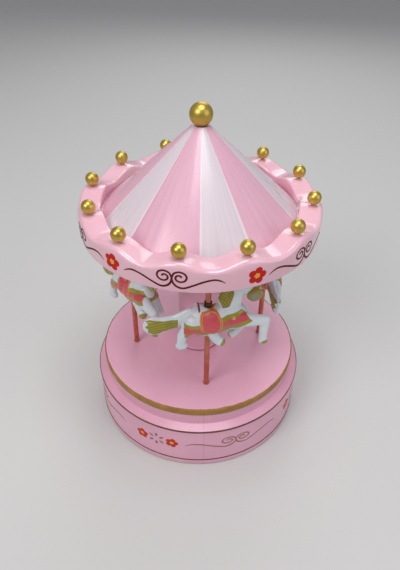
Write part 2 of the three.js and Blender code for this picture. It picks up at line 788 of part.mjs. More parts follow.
function roofCone() {
  const slope = roofRadius / roofHeight;
  const radiusAt = (z) => (roofAim - z) * slope;
  const tip = roofAim - finialSink + 0.6;
  const plug = roofAim - 0.28 * roofHeight;
  const hollow = finialRadius + seatGap;
  const dimpleRadius = Math.sqrt(hollow ** 2 - (finialHeight - tip) ** 2);
  const pegHole = finialPeg + seatGap;
  const dimpleFoot = finialHeight - Math.sqrt(hollow ** 2 - pegHole ** 2);
  const inset = roofWall * Math.hypot(1, slope);
  return turned(
    [[roofRadius - 0.4, roofFoot], [roofRadius, roofFoot + 0.4], [radiusAt(tip), tip],
      [dimpleRadius, tip], [pegHole, dimpleFoot], [pegHole, plug], [radiusAt(plug) - inset, plug],
      [roofRadius - 0.4 - inset, roofFoot]],
    roundSides,
  );
}

function finialBall() {
  const ball = new THREE.SphereGeometry(finialRadius, 16, 10)
    .rotateX(Math.PI / 2)
    .translate(0, 0, finialHeight);
  return joined(ball, disc(finialPeg, finialHeight - finialRadius - 6, finialHeight, 10));
}

// Assembly
function addBase() {
  add("drum_shell", drumShell(), "pinkShell");
  add("base_deck", baseDeck(), "pinkShell");
  add("deck_bush", deckBush(), "brass");
  add("bottom_cover", bottomCover(), "blackPlastic");
  postPlaces().forEach(([x, y], i) =>
    add(`cover_screw_${i + 1}`, screw(x, y, coverRecess + 0.1, 9), "steel"));
  movementScrewPlaces().forEach(([x, y], i) =>
    add(`movement_screw_${i + 1}`, screw(x, y, coverRecess + 0.1, bedTop - 1.2 - coverRecess), "steel"));
}

function addMovement() {
  add("bedplate", bedplate(), "zinc");
  add("spring_barrel", springBarrel(), "brass");
  add("barrel_lid", barrelLid(), "brass");
  add("mainspring", mainspring(), "steel");
  add("inner_bracket", bracket(innerBracketX, -4, 4, [0]), "zinc");
  add("outer_bracket", bracket(outerBracketX, -3, idlerY + 3, [0, idlerY]), "zinc");
  add("governor_bracket", governorBracket(), "zinc");
  add("comb", comb(), "steel");
  combScrewPlaces().forEach(([x, y], i) => {
    const top = axleZ + combThickness / 2 + seatGap;
    const length = 5.5;
    const body = screw(0, 0, 0, length).rotateX(Math.PI);
    add(`comb_screw_${i + 1}`, body.translate(x, y, top + 0.9), "steel");
  });
  add("winding_shaft", windingShaft(), "steel");
  add("crown_wheel", crownWheel(), "brass");
  add("cylinder_pinion", cylinderPinion(), "brass");
  add("tune_cylinder", tuneCylinder(), "brass");
  add("cylinder_wheel", cylinderWheel(), "brass");
  add("idler_pinion", idlerPinion(), "steel");
  add("worm_wheel", wormWheel(), "brass");
  add("governor_worm", governorWorm(), "steel");
  add("governor_fan", governorFan(), "blackPlastic");
}

function addCarousel() {
  add("turntable", turntable(), "pinkShell");
  add("turntable_screw", turntableScrew(), "steel");
  add("centre_column", centreColumn(), "pinkShell");
  const horseShape = horse();
  horsePlaces().forEach(({ x, y, turn }, i) => {
    const station = new THREE.Group();
    station.position.set(x, y, 0);
    station.rotation.z = turn;
    root.add(station);
    add(`pole_${i + 1}`, pole(), "copper", station);
    const mount = add(`horse_${i + 1}`, horseShape.clone(), "horse", station);
    mount.rotation.z = THREE.MathUtils.degToRad(horseTurns[i]);
    mount.position.z = -horseDrops[i];
    add(`pole_collar_${i + 1}`, poleCollar(), "gold", station).position.z = -horseDrops[i];
  });
  add("ceiling", ceiling(), "pinkShell");
  add("canopy_ring", canopyRing(), "pinkGloss");
  add("roof_cone", roofCone(), "roofPrint");
  add("finial_ball", finialBall(), "gold");
  lobeAngles().forEach((angle, i) => {
    const [x, y] = polar(rimRing, angle);
    add(`rim_ball_${i + 1}`, rimBall(), "gold").position.set(x, y, 0);
  });
}

addBase();
addMovement();
addCarousel();

export default root;
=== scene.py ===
import bpy
import bmesh
import math
import numpy as np
from mathutils import Matrix, Vector, noise


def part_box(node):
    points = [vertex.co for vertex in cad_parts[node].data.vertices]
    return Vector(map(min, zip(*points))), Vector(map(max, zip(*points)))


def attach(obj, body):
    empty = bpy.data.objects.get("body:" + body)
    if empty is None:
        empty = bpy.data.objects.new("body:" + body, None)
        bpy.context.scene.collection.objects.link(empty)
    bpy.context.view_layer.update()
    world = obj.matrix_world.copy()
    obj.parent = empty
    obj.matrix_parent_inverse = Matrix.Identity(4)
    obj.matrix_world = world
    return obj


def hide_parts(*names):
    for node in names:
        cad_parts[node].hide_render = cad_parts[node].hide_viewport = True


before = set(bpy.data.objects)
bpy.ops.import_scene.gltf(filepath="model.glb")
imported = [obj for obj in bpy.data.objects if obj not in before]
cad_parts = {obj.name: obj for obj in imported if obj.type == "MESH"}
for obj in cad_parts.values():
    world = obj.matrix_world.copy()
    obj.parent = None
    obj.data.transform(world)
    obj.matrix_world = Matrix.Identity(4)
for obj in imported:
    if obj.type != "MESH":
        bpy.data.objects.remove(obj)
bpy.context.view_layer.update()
mm = 0.001               # every size below is in millimetres

# the camera and the studio

cameraSettings = {
    "place": (0.0, -215.07, 246.25),
    "elevation": 38.04,   # degrees below the horizon
    "roll": 0.71,
    "lens": 32.34,
    "sensor": 36.0,
    "shift": 0.0016,
}


def addCamera(s):
    bpy.ops.object.camera_add(location=[v * mm for v in s["place"]])
    camera = bpy.context.object
    camera.name = "viewCamera"
    tilt = Matrix.Rotation(math.radians(90 - s["elevation"]), 4, "X")
    roll = Matrix.Rotation(math.radians(s["roll"]), 4, "Z")
    camera.matrix_world = Matrix.Translation([v * mm for v in s["place"]]) @ tilt @ roll
    camera.data.lens = s["lens"]
    camera.data.sensor_width = s["sensor"]
    camera.data.shift_x = s["shift"]
    camera.data.clip_start = 0.01
    camera.data.clip_end = 10
    bpy.context.scene.camera = camera


studioSettings = {
    "floorSize": 4.0,     # metres, as are the lights' places
    "floorColour": (0.60, 0.59, 0.585, 1),
    "skyColour": (0.93, 0.95, 1.0, 1),
    "skyStrength": 0.30,
    "lights": [           # name, place, watts, size, colour
        ("overheadSoftbox", (0.02, -0.10, 0.85), 3.0, 0.42, (1.0, 1.0, 1.0)),
        ("keySoftbox", (-0.50, -0.55, 0.75), 3.4, 0.45, (1.0, 0.985, 0.96)),
        ("fillSoftbox", (0.70, -0.40, 0.45), 1.4, 0.60, (0.96, 0.98, 1.0)),
        ("backSoftbox", (0.10, 0.75, 0.60), 1.6, 0.50, (1.0, 1.0, 1.0)),
    ],
}


def addStudio(s):
    bpy.ops.mesh.primitive_plane_add(size=s["floorSize"])
    floor = bpy.context.object
    floor.name = "studioFloor"
    paper = bpy.data.materials.new("floorPaper")
    paper.use_nodes = True
    shader = paper.node_tree.nodes["Principled BSDF"]
    shader.inputs["Base Color"].default_value = s["floorColour"]
    shader.inputs["Roughness"].default_value = 0.8
    floor.data.materials.append(paper)
    sky = bpy.data.worlds.new("studioSky")
    sky.use_nodes = True
    background = sky.node_tree.nodes["Background"]
    background.inputs["Color"].default_value = s["skyColour"]
    background.inputs["Strength"].default_value = s["skyStrength"]
    bpy.context.scene.world = sky
    for name, place, watts, size, colour in s["lights"]:
        bpy.ops.object.light_add(type="AREA", location=place)
        light = bpy.context.object
        light.name = name
        light.data.energy = watts
        light.data.size = size
        light.data.color = colour
        aim = Vector((0, 0, 0.09)) - Vector(place)
        light.rotation_euler = aim.to_track_quat("-Z", "Y").to_euler()


# materials: small helpers that wire one node at a time

def addNode(tree, kind, inputs=None, **settings):
    node = tree.nodes.new("ShaderNode" + kind)
    for key, value in settings.items():
        setattr(node, key, value)
    for key, value in (inputs or {}).items():
        if isinstance(value, bpy.types.NodeSocket):
            tree.links.new(value, node.inputs[key])
        else:
            node.inputs[key].default_value = value
    return node


def calc(tree, operation, a, b=0.0):
    return addNode(tree, "Math", {0: a, 1: b}, operation=operation).outputs[0]


def blendColours(tree, share, low, high):
    mix = addNode(tree, "Mix", {0: share, 6: low, 7: high}, data_type="RGBA")
    return mix.outputs[2]


def spread(tree, value, low, high, toLow=0, toHigh=1):
    inputs = {"Value": value, "From Min": low, "From Max": high, "To Min": toLow, "To Max": toHigh}
    return addNode(tree, "MapRange", inputs).outputs[0]


def startMaterial(name):
    material = bpy.data.materials.new(name)
    material.use_nodes = True
    tree = material.node_tree
    shader = tree.nodes["Principled BSDF"]
    return material, tree, shader


def objectPlace(tree):
    return addNode(tree, "TexCoord").outputs["Object"]


def cloudNoise(tree, place, scale, detail=3.0, roughness=0.55):
    inputs = {"Vector": place, "Scale": scale, "Detail": detail, "Roughness": roughness}
    return addNode(tree, "TexNoise", inputs).outputs["Fac"]


def setFinish(tree, shader, place, s):
    # uneven gloss and a fine moulded or brushed bump, both from noise
    patches = cloudNoise(tree, place, s.get("patch", 90.0))
    rough = spread(tree, patches, 0.3, 0.7, s["rough"] - s["roughSpread"], s["rough"] + s["roughSpread"])
    tree.links.new(rough, shader.inputs["Roughness"])
    grain = cloudNoise(tree, place, s["grain"], 2.0)
    bump = addNode(tree, "Bump", {"Strength": s["bump"], "Distance": 0.0002, "Height": grain})
    tree.links.new(bump.outputs[0], shader.inputs["Normal"])
    shader.inputs["Coat Weight"].default_value = s.get("coat", 0.0)
    shader.inputs["Coat Roughness"].default_value = s.get("coatRough", 0.1)
    shader.inputs["Metallic"].default_value = s.get("metal", 0.0)
    shader.inputs["Specular IOR Level"].default_value = s.get("shine", 0.5)


def shadedColour(tree, place, s):
    # the base colour drifts between two tones, with a few darker specks of dust
    drift = cloudNoise(tree, place, s.get("drift", 28.0))
    tone = blendColours(tree, spread(tree, drift, 0.35, 0.65), s["colour"], s["tone"])
    specks = cloudNoise(tree, place, s.get("speck", 900.0), 1.0)
    dust = spread(tree, specks, 0.72, 0.80, 0, s.get("dust", 0.25))
    return blendColours(tree, dust, tone, s["speckColour"])


def look(colour, tone, specks, rough, roughSpread, grain, bump, **more):
    return {
        "colour": (*colour, 1), "tone": (*tone, 1), "speckColour": (*specks, 1), "rough": rough,
        "roughSpread": roughSpread, "grain": grain, "bump": bump, **more,
    }


def ink(colour, tone, specks, **more):
    return look(colour, tone, specks, 0.5, 0.05, 2500.0, 0.1, shine=0.15, **more)


pinkPlastic = look(
    (0.8, 0.42, 0.545), (0.74, 0.375, 0.5), (0.45, 0.2, 0.24),
    0.34, 0.06, 1400.0, 0.1, coat=0.25, coatRough=0.12)
bandPlastic = look(
    (0.85, 0.5, 0.59), (0.81, 0.455, 0.55), (0.5, 0.22, 0.26),
    0.2, 0.05, 700.0, 0.06, coat=0.8, coatRough=0.05, dust=0.15)
trayPlastic = look(
    (0.87, 0.465, 0.6), (0.83, 0.43, 0.565), (0.42, 0.18, 0.22),
    0.46, 0.07, 1800.0, 0.14, coat=0.08, coatRough=0.25)
trimGold = look(
    (0.4, 0.215, 0.035), (0.31, 0.155, 0.026), (0.12, 0.05, 0.01),
    0.55, 0.12, 2600.0, 0.35, drift=160.0, dust=0.6, speck=1300.0)
seamInk = look(
    (0.2, 0.085, 0.03), (0.13, 0.045, 0.025), (0.35, 0.2, 0.08),
    0.45, 0.1, 1500.0, 0.2, metal=0.3, drift=120.0)
ballGold = look(
    (0.62, 0.455, 0.1), (0.55, 0.39, 0.08), (0.25, 0.15, 0.03),
    0.36, 0.05, 2200.0, 0.08, metal=0.9, drift=150.0)
poleCopper = look(
    (0.58, 0.2, 0.115), (0.47, 0.135, 0.075), (0.12, 0.03, 0.02),
    0.28, 0.09, 3000.0, 0.15, metal=0.85, coat=0.2, drift=200.0)
collarBronze = look(
    (0.055, 0.022, 0.012), (0.09, 0.04, 0.015), (0.2, 0.1, 0.03),
    0.3, 0.08, 2500.0, 0.2, metal=0.7, drift=300.0)
# colour of the painted shade ring at the column's foot
footShadeLine = look(
    (0.46, 0.055, 0.12), (0.36, 0.04, 0.09), (0.2, 0.03, 0.05),
    0.3, 0.08, 2000.0, 0.3, coat=0.3, drift=200.0)
maroonInk = ink((0.095, 0.01, 0.01), (0.13, 0.018, 0.012), (0.25, 0.05, 0.03), drift=300.0)
brownInk = ink((0.32, 0.155, 0.125), (0.4, 0.2, 0.17), (0.5, 0.28, 0.22), drift=300.0, dust=0.5)
redInk = ink((0.62, 0.012, 0.01), (0.52, 0.012, 0.012), (0.75, 0.08, 0.04), drift=260.0)
emberInk = ink((0.6, 0.045, 0.025), (0.5, 0.035, 0.025), (0.7, 0.12, 0.06), drift=260.0)
yellowInk = ink((0.88, 0.44, 0.055), (0.8, 0.33, 0.05), (0.9, 0.2, 0.03), drift=500.0)
metalLooks = {
    "brassMetal": look(
        (0.6, 0.42, 0.14), (0.5, 0.33, 0.1), (0.2, 0.12, 0.05),
        0.3, 0.08, 2600.0, 0.2, metal=1.0, drift=150.0),
    "steelMetal": look(
        (0.48, 0.49, 0.5), (0.38, 0.39, 0.41), (0.15, 0.12, 0.1),
        0.28, 0.09, 3200.0, 0.2, metal=1.0, drift=150.0),
    "zincCasting": look(
        (0.42, 0.43, 0.44), (0.33, 0.34, 0.35), (0.2, 0.2, 0.2),
        0.52, 0.1, 1500.0, 0.5, metal=0.9, drift=120.0),
    "blackMoulding": look(
        (0.022, 0.022, 0.024), (0.03, 0.03, 0.031), (0.1, 0.1, 0.1),
        0.48, 0.08, 1600.0, 0.35, drift=100.0),
}


def plainMaterial(name, s):
    material, tree, shader = startMaterial(name)
    place = objectPlace(tree)
    tree.links.new(shadedColour(tree, place, s), shader.inputs["Base Color"])
    setFinish(tree, shader, place, s)
    return material


def frontAngle(tree, place):
    # degrees round the vertical axis, from the front towards +X
    parts = addNode(tree, "SeparateXYZ", {0: place})
    back = calc(tree, "MULTIPLY", parts.outputs[1], -1.0)
    turn = calc(tree, "ARCTAN2", parts.outputs[0], back)
    return calc(tree, "MULTIPLY", turn, 180 / math.pi)


def seamedMaterial(name, s, seam):
    # the plastic, with a fine moulding seam that runs up it at one angle
    material, tree, shader = startMaterial(name)
    place = objectPlace(tree)
    angle = frontAngle(tree, place)
    away = calc(tree, "ABSOLUTE", calc(tree, "SUBTRACT", angle, seam["angle"]))
    line = spread(tree, away, seam["half"] * 0.4, seam["half"], seam["strength"], 0)
    colour = blendColours(tree, line, shadedColour(tree, place, s), seam["colour"])
    tree.links.new(colour, shader.inputs["Base Color"])
    setFinish(tree, shader, place, s)
    return material


seamSettings = {"angle": 3.4, "half": 0.14, "strength": 0.55, "colour": (0.40, 0.16, 0.22, 1)}

roofPrint = {
    "pink": (0.745, 0.425, 0.53, 1), "pinkTone": (0.70, 0.385, 0.495, 1),
    "white": (0.70, 0.615, 0.66, 1), "whiteTone": (0.655, 0.555, 0.61, 1),
    "border": (0.80, 0.66, 0.72, 1),
    "repeat": 72.0, "whiteWidth": 30.0, "borderWidth": 1.5,
    "rough": 0.30, "roughSpread": 0.05, "grain": 900.0, "bump": 0.03, "coat": 0.45, "coatRough": 0.14,
}


def roofMaterial(s):
    material, tree, shader = startMaterial("roofStripes")
    place = objectPlace(tree)
    angle = frontAngle(tree, place)
    within = calc(tree, "FLOORED_MODULO", angle, s["repeat"])
    isWhite = calc(tree, "LESS_THAN", within, s["whiteWidth"])
    pastWhite = calc(tree, "SUBTRACT", within, s["whiteWidth"])
    near = calc(tree, "MINIMUM", within, calc(tree, "ABSOLUTE", pastWhite))
    rim = calc(tree, "MULTIPLY", calc(tree, "LESS_THAN", near, s["borderWidth"]), isWhite)
    # soft lighter and darker streaks that run down the slope, painted sheen standing in for the cone's soft
    # vertical sheens
    parts = addNode(tree, "SeparateXYZ", {0: place})
    sheenStreakPlace = addNode(tree, "CombineXYZ", {0: calc(tree, "MULTIPLY", angle, 0.022), 2: parts.outputs[2]})
    sheenStreaks = spread(tree, cloudNoise(tree, sheenStreakPlace.outputs[0], 14.0), 0.35, 0.65)
    # the pink and white each blend towards a darker tone along the painted sheen streaks
    pink = blendColours(tree, sheenStreaks, s["pink"], s["pinkTone"])
    white = blendColours(tree, sheenStreaks, s["white"], s["whiteTone"])
    stripes = blendColours(tree, isWhite, pink, white)
    colour = blendColours(tree, rim, stripes, s["border"])
    tree.links.new(colour, shader.inputs["Base Color"])
    setFinish(tree, shader, place, s)
    return material


# modelling helpers

def setMode(mode):
    bpy.ops.object.mode_set(mode=mode)


def selectFaces(action):
    bpy.ops.mesh.select_all(action=action)


def clearSelection():
    if bpy.context.mode != "OBJECT":
        setMode("OBJECT")
    bpy.ops.object.select_all(action="DESELECT")


def activate(*objects):
    clearSelection()
    for o in objects:
        o.select_set(True)
    bpy.context.view_layer.objects.active = objects[0]


def joinPieces(name, pieces):
    activate(*pieces)
    if len(pieces) > 1:
        bpy.ops.object.join()
    bpy.context.object.name = name
    bpy.context.object.data.name = name
    return bpy.context.object


def smoothBy(degrees):
    bpy.ops.object.shade_smooth_by_angle(angle=math.radians(degrees))


def settle(piece, smoothAngle=35):
    # puts the place into the mesh, closes doubles and points the faces out
    activate(piece)
    bpy.ops.object.transform_apply(location=True, rotation=True, scale=True)
    setMode("EDIT")
    selectFaces("SELECT")
    bpy.ops.mesh.remove_doubles(threshold=0.003 * mm)
    bpy.ops.mesh.normals_make_consistent(inside=False)
    setMode("OBJECT")
    smoothBy(smoothAngle)
    return piece


def applyModifier(piece, kind, **settings):
    activate(piece)
    modifier = piece.modifiers.new("shaping", kind)
    for key, value in settings.items():
        setattr(modifier, key, value)
    bpy.ops.object.modifier_apply(modifier=modifier.name)


def finishPiece(piece, body, material, replaced=()):
    piece.data.materials.clear()
    piece.data.materials.append(material)
    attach(piece, body)
    if replaced:
        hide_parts(*replaced)


filletSteps = 5
pointRadius = 0.001        # of a ring on the axis, so that it can grow again


def roundedOutline(corners, closed=True):
    # corners are (radius, height, fillet), and each fillet becomes an arc
    outline = []
    count = len(corners)
    for i, (radius, height, fillet) in enumerate(corners):
        here = Vector((radius, height))
        atEnd = not closed and i in (0, count - 1)
        if fillet <= 0 or atEnd:
            outline.append(here)
            continue
        before = (Vector(corners[i - 1][:2]) - here).normalized()
        after = (Vector(corners[(i + 1) % count][:2]) - here).normalized()
        half = before.angle(after) / 2
        centre = here + (before + after).normalized() * (fillet / math.sin(half))
        first = here + before * (fillet / math.tan(half)) - centre
        last = here + after * (fillet / math.tan(half)) - centre
        turn = -first.angle_signed(last)
        for k in range(filletSteps + 1):
            outline.append(centre + Matrix.Rotation(turn * k / filletSteps, 2) @ first)
    return outline


def turnPiece(name, corners, steps, closed=True):
    # a circle is extruded and resized from ring to ring, then the last ring meets the first
    outline = roundedOutline(corners, closed)
    if closed:
        outline.append(outline[0])
    clearSelection()
    bpy.ops.mesh.primitive_circle_add(vertices=steps, radius=max(outline[0].x, pointRadius) * mm)
    piece = bpy.context.object
    piece.name = name
    setMode("EDIT")
    bpy.ops.transform.translate(value=(0, 0, outline[0].y * mm))
    for here, there in zip(outline, outline[1:]):
        grow = max(there.x, pointRadius) / max(here.x, pointRadius)
        rise = (there.y - here.y) * mm
        bpy.ops.mesh.extrude_edges_move(TRANSFORM_OT_translate={"value": (0, 0, rise)})
        bpy.ops.transform.resize(value=(grow, grow, 1), center_override=(0, 0, there.y * mm))
    setMode("OBJECT")
    return settle(piece)


def boxOf(node):
    return (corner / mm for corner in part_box(node))


def span(node):
    low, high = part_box(node)
    return {"radius": high.x / mm, "foot": low.z / mm, "top": high.z / mm}


def turnedCopy(piece, name, degrees):
    copy = piece.copy()
    copy.data = piece.data.copy()
    copy.name = name
    copy.data.name = name
    bpy.context.scene.collection.objects.link(copy)
    copy.data.transform(Matrix.Rotation(math.radians(degrees), 4, "Z"))
    return copy


# the base: drum and deck

drumSettings = {"lip": 0.2, "lipTop": 4.2, "lipSlope": 0.7, "wall": 2.3, "footChamfer": 0.9, "footRise": 1.0}
deckSettings = {
    "ledge": 4.7, "ledgeRise": 1.9, "wall": 2.0, "shoulder": 0.55, "bore": 5.3, "gap": 0.3,
    "tongue": (1.8, 3.4, 0.2),   # inside the drum: how far out, down and in
}


def makeDrum(s):
    drum = span("drum_shell")
    wall = drum["radius"] - s["lip"]
    inside = wall - s["wall"]
    corners = [
        (wall - s["footChamfer"], 0.0, 0.25), (wall, s["footRise"], 0.6),
        (drum["radius"], s["lipTop"] - s["lipSlope"], 0.25),
        (wall, s["lipTop"], 0.1), (wall, drum["top"], 0.3), (inside, drum["top"], 0.2),
        (inside, 0.0, 0.3),
    ]
    piece = turnPiece("drumShell", corners, 180)
    material = seamedMaterial("drumPlastic", pinkPlastic, seamSettings)
    finishPiece(piece, "base", material, ["drum_shell"])


def makeDeck(s):
    deck = span("base_deck")
    foot = span("drum_shell")["top"] + s["gap"]
    wall = deck["radius"] - s["ledge"]
    under = deck["top"] - s["wall"]
    tongueOut, tongueDrop, tongueIn = s["tongue"]
    corners = [
        (s["bore"], deck["top"], 0.0), (wall, deck["top"], 0.7), (wall, foot + s["ledgeRise"], 0.8),
        (deck["radius"], foot + s["shoulder"], s["shoulder"]), (deck["radius"], foot, 0.05),
        (wall + tongueOut, foot, 0.0), (wall + tongueOut, foot - tongueDrop, 0.2),
        (wall - tongueIn, foot - tongueDrop, 0.0), (wall - s["wall"], foot, 0.2),
        (wall - s["wall"], under, 0.5), (s["bore"], under, 0.0),
    ]
    piece = turnPiece("baseDeck", corners, 180)
    material = seamedMaterial("deckPlastic", pinkPlastic, seamSettings)
    finishPiece(piece, "base", material, ["base_deck"])


trimSettings = {
    "ledgeLine": 1.05, "footLine": 0.75, "lift": 0.02, "ledgeDepth": 0.3, "footDepth": 0.4, "footLap": 0.15,
    "bandProud": 0.06, "bandLow": 0.2, "bandLap": 0.75, "bandDepth": 0.4,
    "ragged": 0.13, "waves": (14, 60), "fineShare": 0.6, "backShare": 0.8,
}


def makeTrimLines(s):
    # the dark gold line at the ledge's edge and the finer one over the foot
    deck = span("base_deck")
    drum = span("drum_shell")
    ledgeFoot = drum["top"] + s["lift"]
    rims = [
        ("ledgeLine", deck["radius"] - s["ledgeDepth"], deck["radius"], ledgeFoot, s["ledgeLine"]),
        ("footLine", drum["radius"] - s["footDepth"], drum["radius"] - s["lift"],
         drumSettings["lipTop"] - s["footLap"], s["footLine"]),
    ]
    ink = plainMaterial("seamBronze", seamInk)
    for name, inner, outer, low, tall in rims:
        corners = [(inner, low, 0.0), (outer, low, 0.08), (outer, low + tall, 0.08), (inner, low + tall, 0.0)]
        piece = turnPiece(name, corners, 360)
        finishPiece(piece, "base", ink)


def makeGoldBand(s):
    # painted round the turntable's edge by hand, so its edges wander a little
    tray = span("turntable")
    low = tray["foot"] + s["bandLow"]
    high = tray["foot"] + traySettings["edge"] + s["bandProud"]
    outer = tray["radius"] + s["bandProud"]
    inner = tray["radius"] - s["bandDepth"]
    lap = tray["radius"] - s["bandLap"]
    corners = [
        (inner, low, 0.0), (outer, low, 0.05), (outer, high, traySettings["corner"]), (lap, high, 0.0),
        (lap, high - 0.3, 0.0), (inner, high - 0.6, 0.0),
    ]
    piece = turnPiece("turntableGoldBand", corners, 720)
    for v in piece.data.vertices:
        # only the two painted edges wander, the lower one up and down and the lap in and out
        turn = math.atan2(v.co.y, v.co.x)
        atFoot = v.co.z / mm < low + 0.1
        atLap = Vector((v.co.x, v.co.y)).length / mm < lap + 0.1 and v.co.z / mm > high - 0.4
        side = 5.0 if atFoot else 9.0
        wander, fine = (
            noise.noise(Vector((math.cos(turn) * size, math.sin(turn) * size, side))) for size in s["waves"])
        shift = (wander + s["fineShare"] * fine) * s["ragged"]
        if atFoot:
            v.co.z += shift * mm
        if atLap:
            hide = s["backShare"] * s["bandLap"] * (1 - max(0, -math.sin(turn)))
            grow = 1 + (2 * shift + hide) / lap
            v.co.x *= grow
            v.co.y *= grow
    finishPiece(piece, "carousel", plainMaterial("bandGold", trimGold))


# the carousel: turntable, column, ceiling

traySettings = {"edge": 3.9, "skin": 2.0, "corner": 0.6, "hub": 7.0, "rim": 2.2}


def makeTurntable(s):
    tray = span("turntable")
    top = tray["foot"] + s["edge"]
    spigot = tray["top"]
    bore = span("winding_shaft")["radius"]
    radius = tray["radius"]
    column = span("centre_column")["radius"] - columnSettings["spigotInset"]
    inner = column - columnSettings["spigotWall"]
    corners = [
        (bore, tray["foot"], 0.0), (s["hub"], tray["foot"], 0.2), (s["hub"], top - s["skin"], 0.3),
        (radius - s["rim"], top - s["skin"], 0.3), (radius - s["rim"], tray["foot"], 0.2),
        (radius, tray["foot"], 0.35), (radius, top, s["corner"]), (column, top, 0.0),
        (column, spigot, 0.3), (inner, spigot, 0.3), (inner, top, 0.0), (bore, top, 0.0),
    ]
    piece = turnPiece("turntableTray", corners, 180)
    finishPiece(piece, "carousel", plainMaterial("trayPlastic", trayPlastic), ["turntable"])


columnSettings = {
    "flange": 0.7, "flangeRise": 1.1, "wall": 1.6, "shadeOut": 0.28, "shadeTall": 0.3, "shadeDepth": 0.2,
    "spigotInset": 2.6, "spigotWall": 1.4,   # the spigots that stand inside its two ends
}


def makeColumn(s):
    column = span("centre_column")
    outer = column["radius"] - s["flange"]
    inner = outer - s["wall"]
    low = column["foot"]
    corners = [
        (inner, low, 0.2), (column["radius"], low, 0.2), (column["radius"], low + s["flangeRise"], 0.35),
        (outer, low + s["flangeRise"], 0.3), (outer, column["top"], 0.3), (inner, column["top"], 0.2),
    ]
    piece = turnPiece("columnTube", corners, 96)
    finishPiece(piece, "carousel", plainMaterial("columnPlastic", pinkPlastic),
                ["centre_column"])
    # a thin dark red ring round the column's foot, painted shade standing in for the shadow where the column
    # meets the turntable
    edge, shadeOut = column["radius"] - s["shadeDepth"], column["radius"] + s["shadeOut"]
    high = low + s["shadeTall"]
    corners = [(edge, low, 0.0), (shadeOut, low, 0.1), (shadeOut, high, 0.1), (edge, high, 0.0)]
    ring = turnPiece("columnFootShade", corners, 96)
    finishPiece(ring, "carousel", plainMaterial("footShadeLine", footShadeLine))


ceilingSettings = {"thick": 2.0}


def makeCeiling(s):
    ceiling = span("ceiling")
    under = ceiling["top"] - s["thick"]
    spigot = span("centre_column")["radius"] - columnSettings["spigotInset"]
    inner = spigot - columnSettings["spigotWall"]
    corners = [
        (inner, ceiling["foot"], 0.3), (spigot, ceiling["foot"], 0.3), (spigot, under, 0.2),
        (ceiling["radius"], under, 0.3), (ceiling["radius"], ceiling["top"], 0.3),
        (inner, ceiling["top"], 0.2),
    ]
    piece = turnPiece("ceilingPlate", corners, 144)
    finishPiece(piece, "carousel", plainMaterial("ceilingPlastic", pinkPlastic), ["ceiling"])


# the canopy: wavy glossy ring, striped roof, gold balls

canopySettings = {
    "lobes": 12, "phase": -8.86, "wave": 1.6, "wall": 1.9, "band": 10.7, "root": 3.6, "gap": 0.3,
    "lean": 0.1, "shelf": 1.6, "skin": 3.2, "step": 1.1, "wallDrop": 1.0, "innerReach": 1.5,
    "middle": 11.7, "shoulder": 2.2, "innerShoulder": 0.9, "flange": 2.4, "stepsPerLobe": 24,
    "inwardWave": 0.35, "printRoom": 0.1,
}


def makeCanopy(s):
    ring = span("canopy_ring")
    outer = ring["radius"] - s["printRoom"]
    foot = ring["foot"]
    high = foot + s["middle"]
    root = high - s["root"]
    inner = outer - s["band"]
    shelf = span("roof_cone")["foot"] - s["gap"]
    under = span("ceiling")["top"] + s["gap"]
    skin = high - s["skin"]
    corners = [
        (outer, foot, 0.35), (outer, root, 0.0), (outer, high + s["lean"], s["shoulder"]),
        (inner, high - s["lean"], s["innerShoulder"]), (inner, shelf, 0.0), (inner - s["flange"], shelf, 0.3),
        (inner - s["flange"], shelf - s["shelf"], 0.2), (inner, under, 0.0), (inner + s["wall"], under, 0.0),
        (inner + s["wall"], skin, 0.5), (outer - s["wall"] - s["step"], skin, 0.5),
        (outer - s["wall"], root - s["wallDrop"], 0.3), (outer - s["wall"], foot, 0.35),
    ]
    piece = turnPiece("canopyRing", corners, s["lobes"] * s["stepsPerLobe"])
    for v in piece.data.vertices:
        share = min(max((v.co.z / mm - root) / (high - root), 0), 1)
        angle = math.atan2(v.co.x, -v.co.y) - math.radians(s["phase"])
        wave = math.cos(s["lobes"] * angle)
        v.co.z += share * s["wave"] * wave * mm
        radius = Vector((v.co.x, v.co.y)).length / mm
        if radius < inner + s["innerReach"] and share > 0.5:
            pull = 1 - s["inwardWave"] * share * wave / radius
            v.co.x *= pull
            v.co.y *= pull
    finishPiece(piece, "carousel", plainMaterial("canopyGloss", bandPlastic), ["canopy_ring"])


roofSettings = {
    "wall": 1.6, "height": 43.5, "sink": 4.0, "tipLap": 0.6, "rim": 0.5, "plug": 0.28, "bore": 1.9,
    "boreLip": 0.3, "steps": 720, "rings": 10, "ridge": 0.10,
    "ridgeAngles": [72 * k + a for k in range(5) for a in (0, 30)],
}


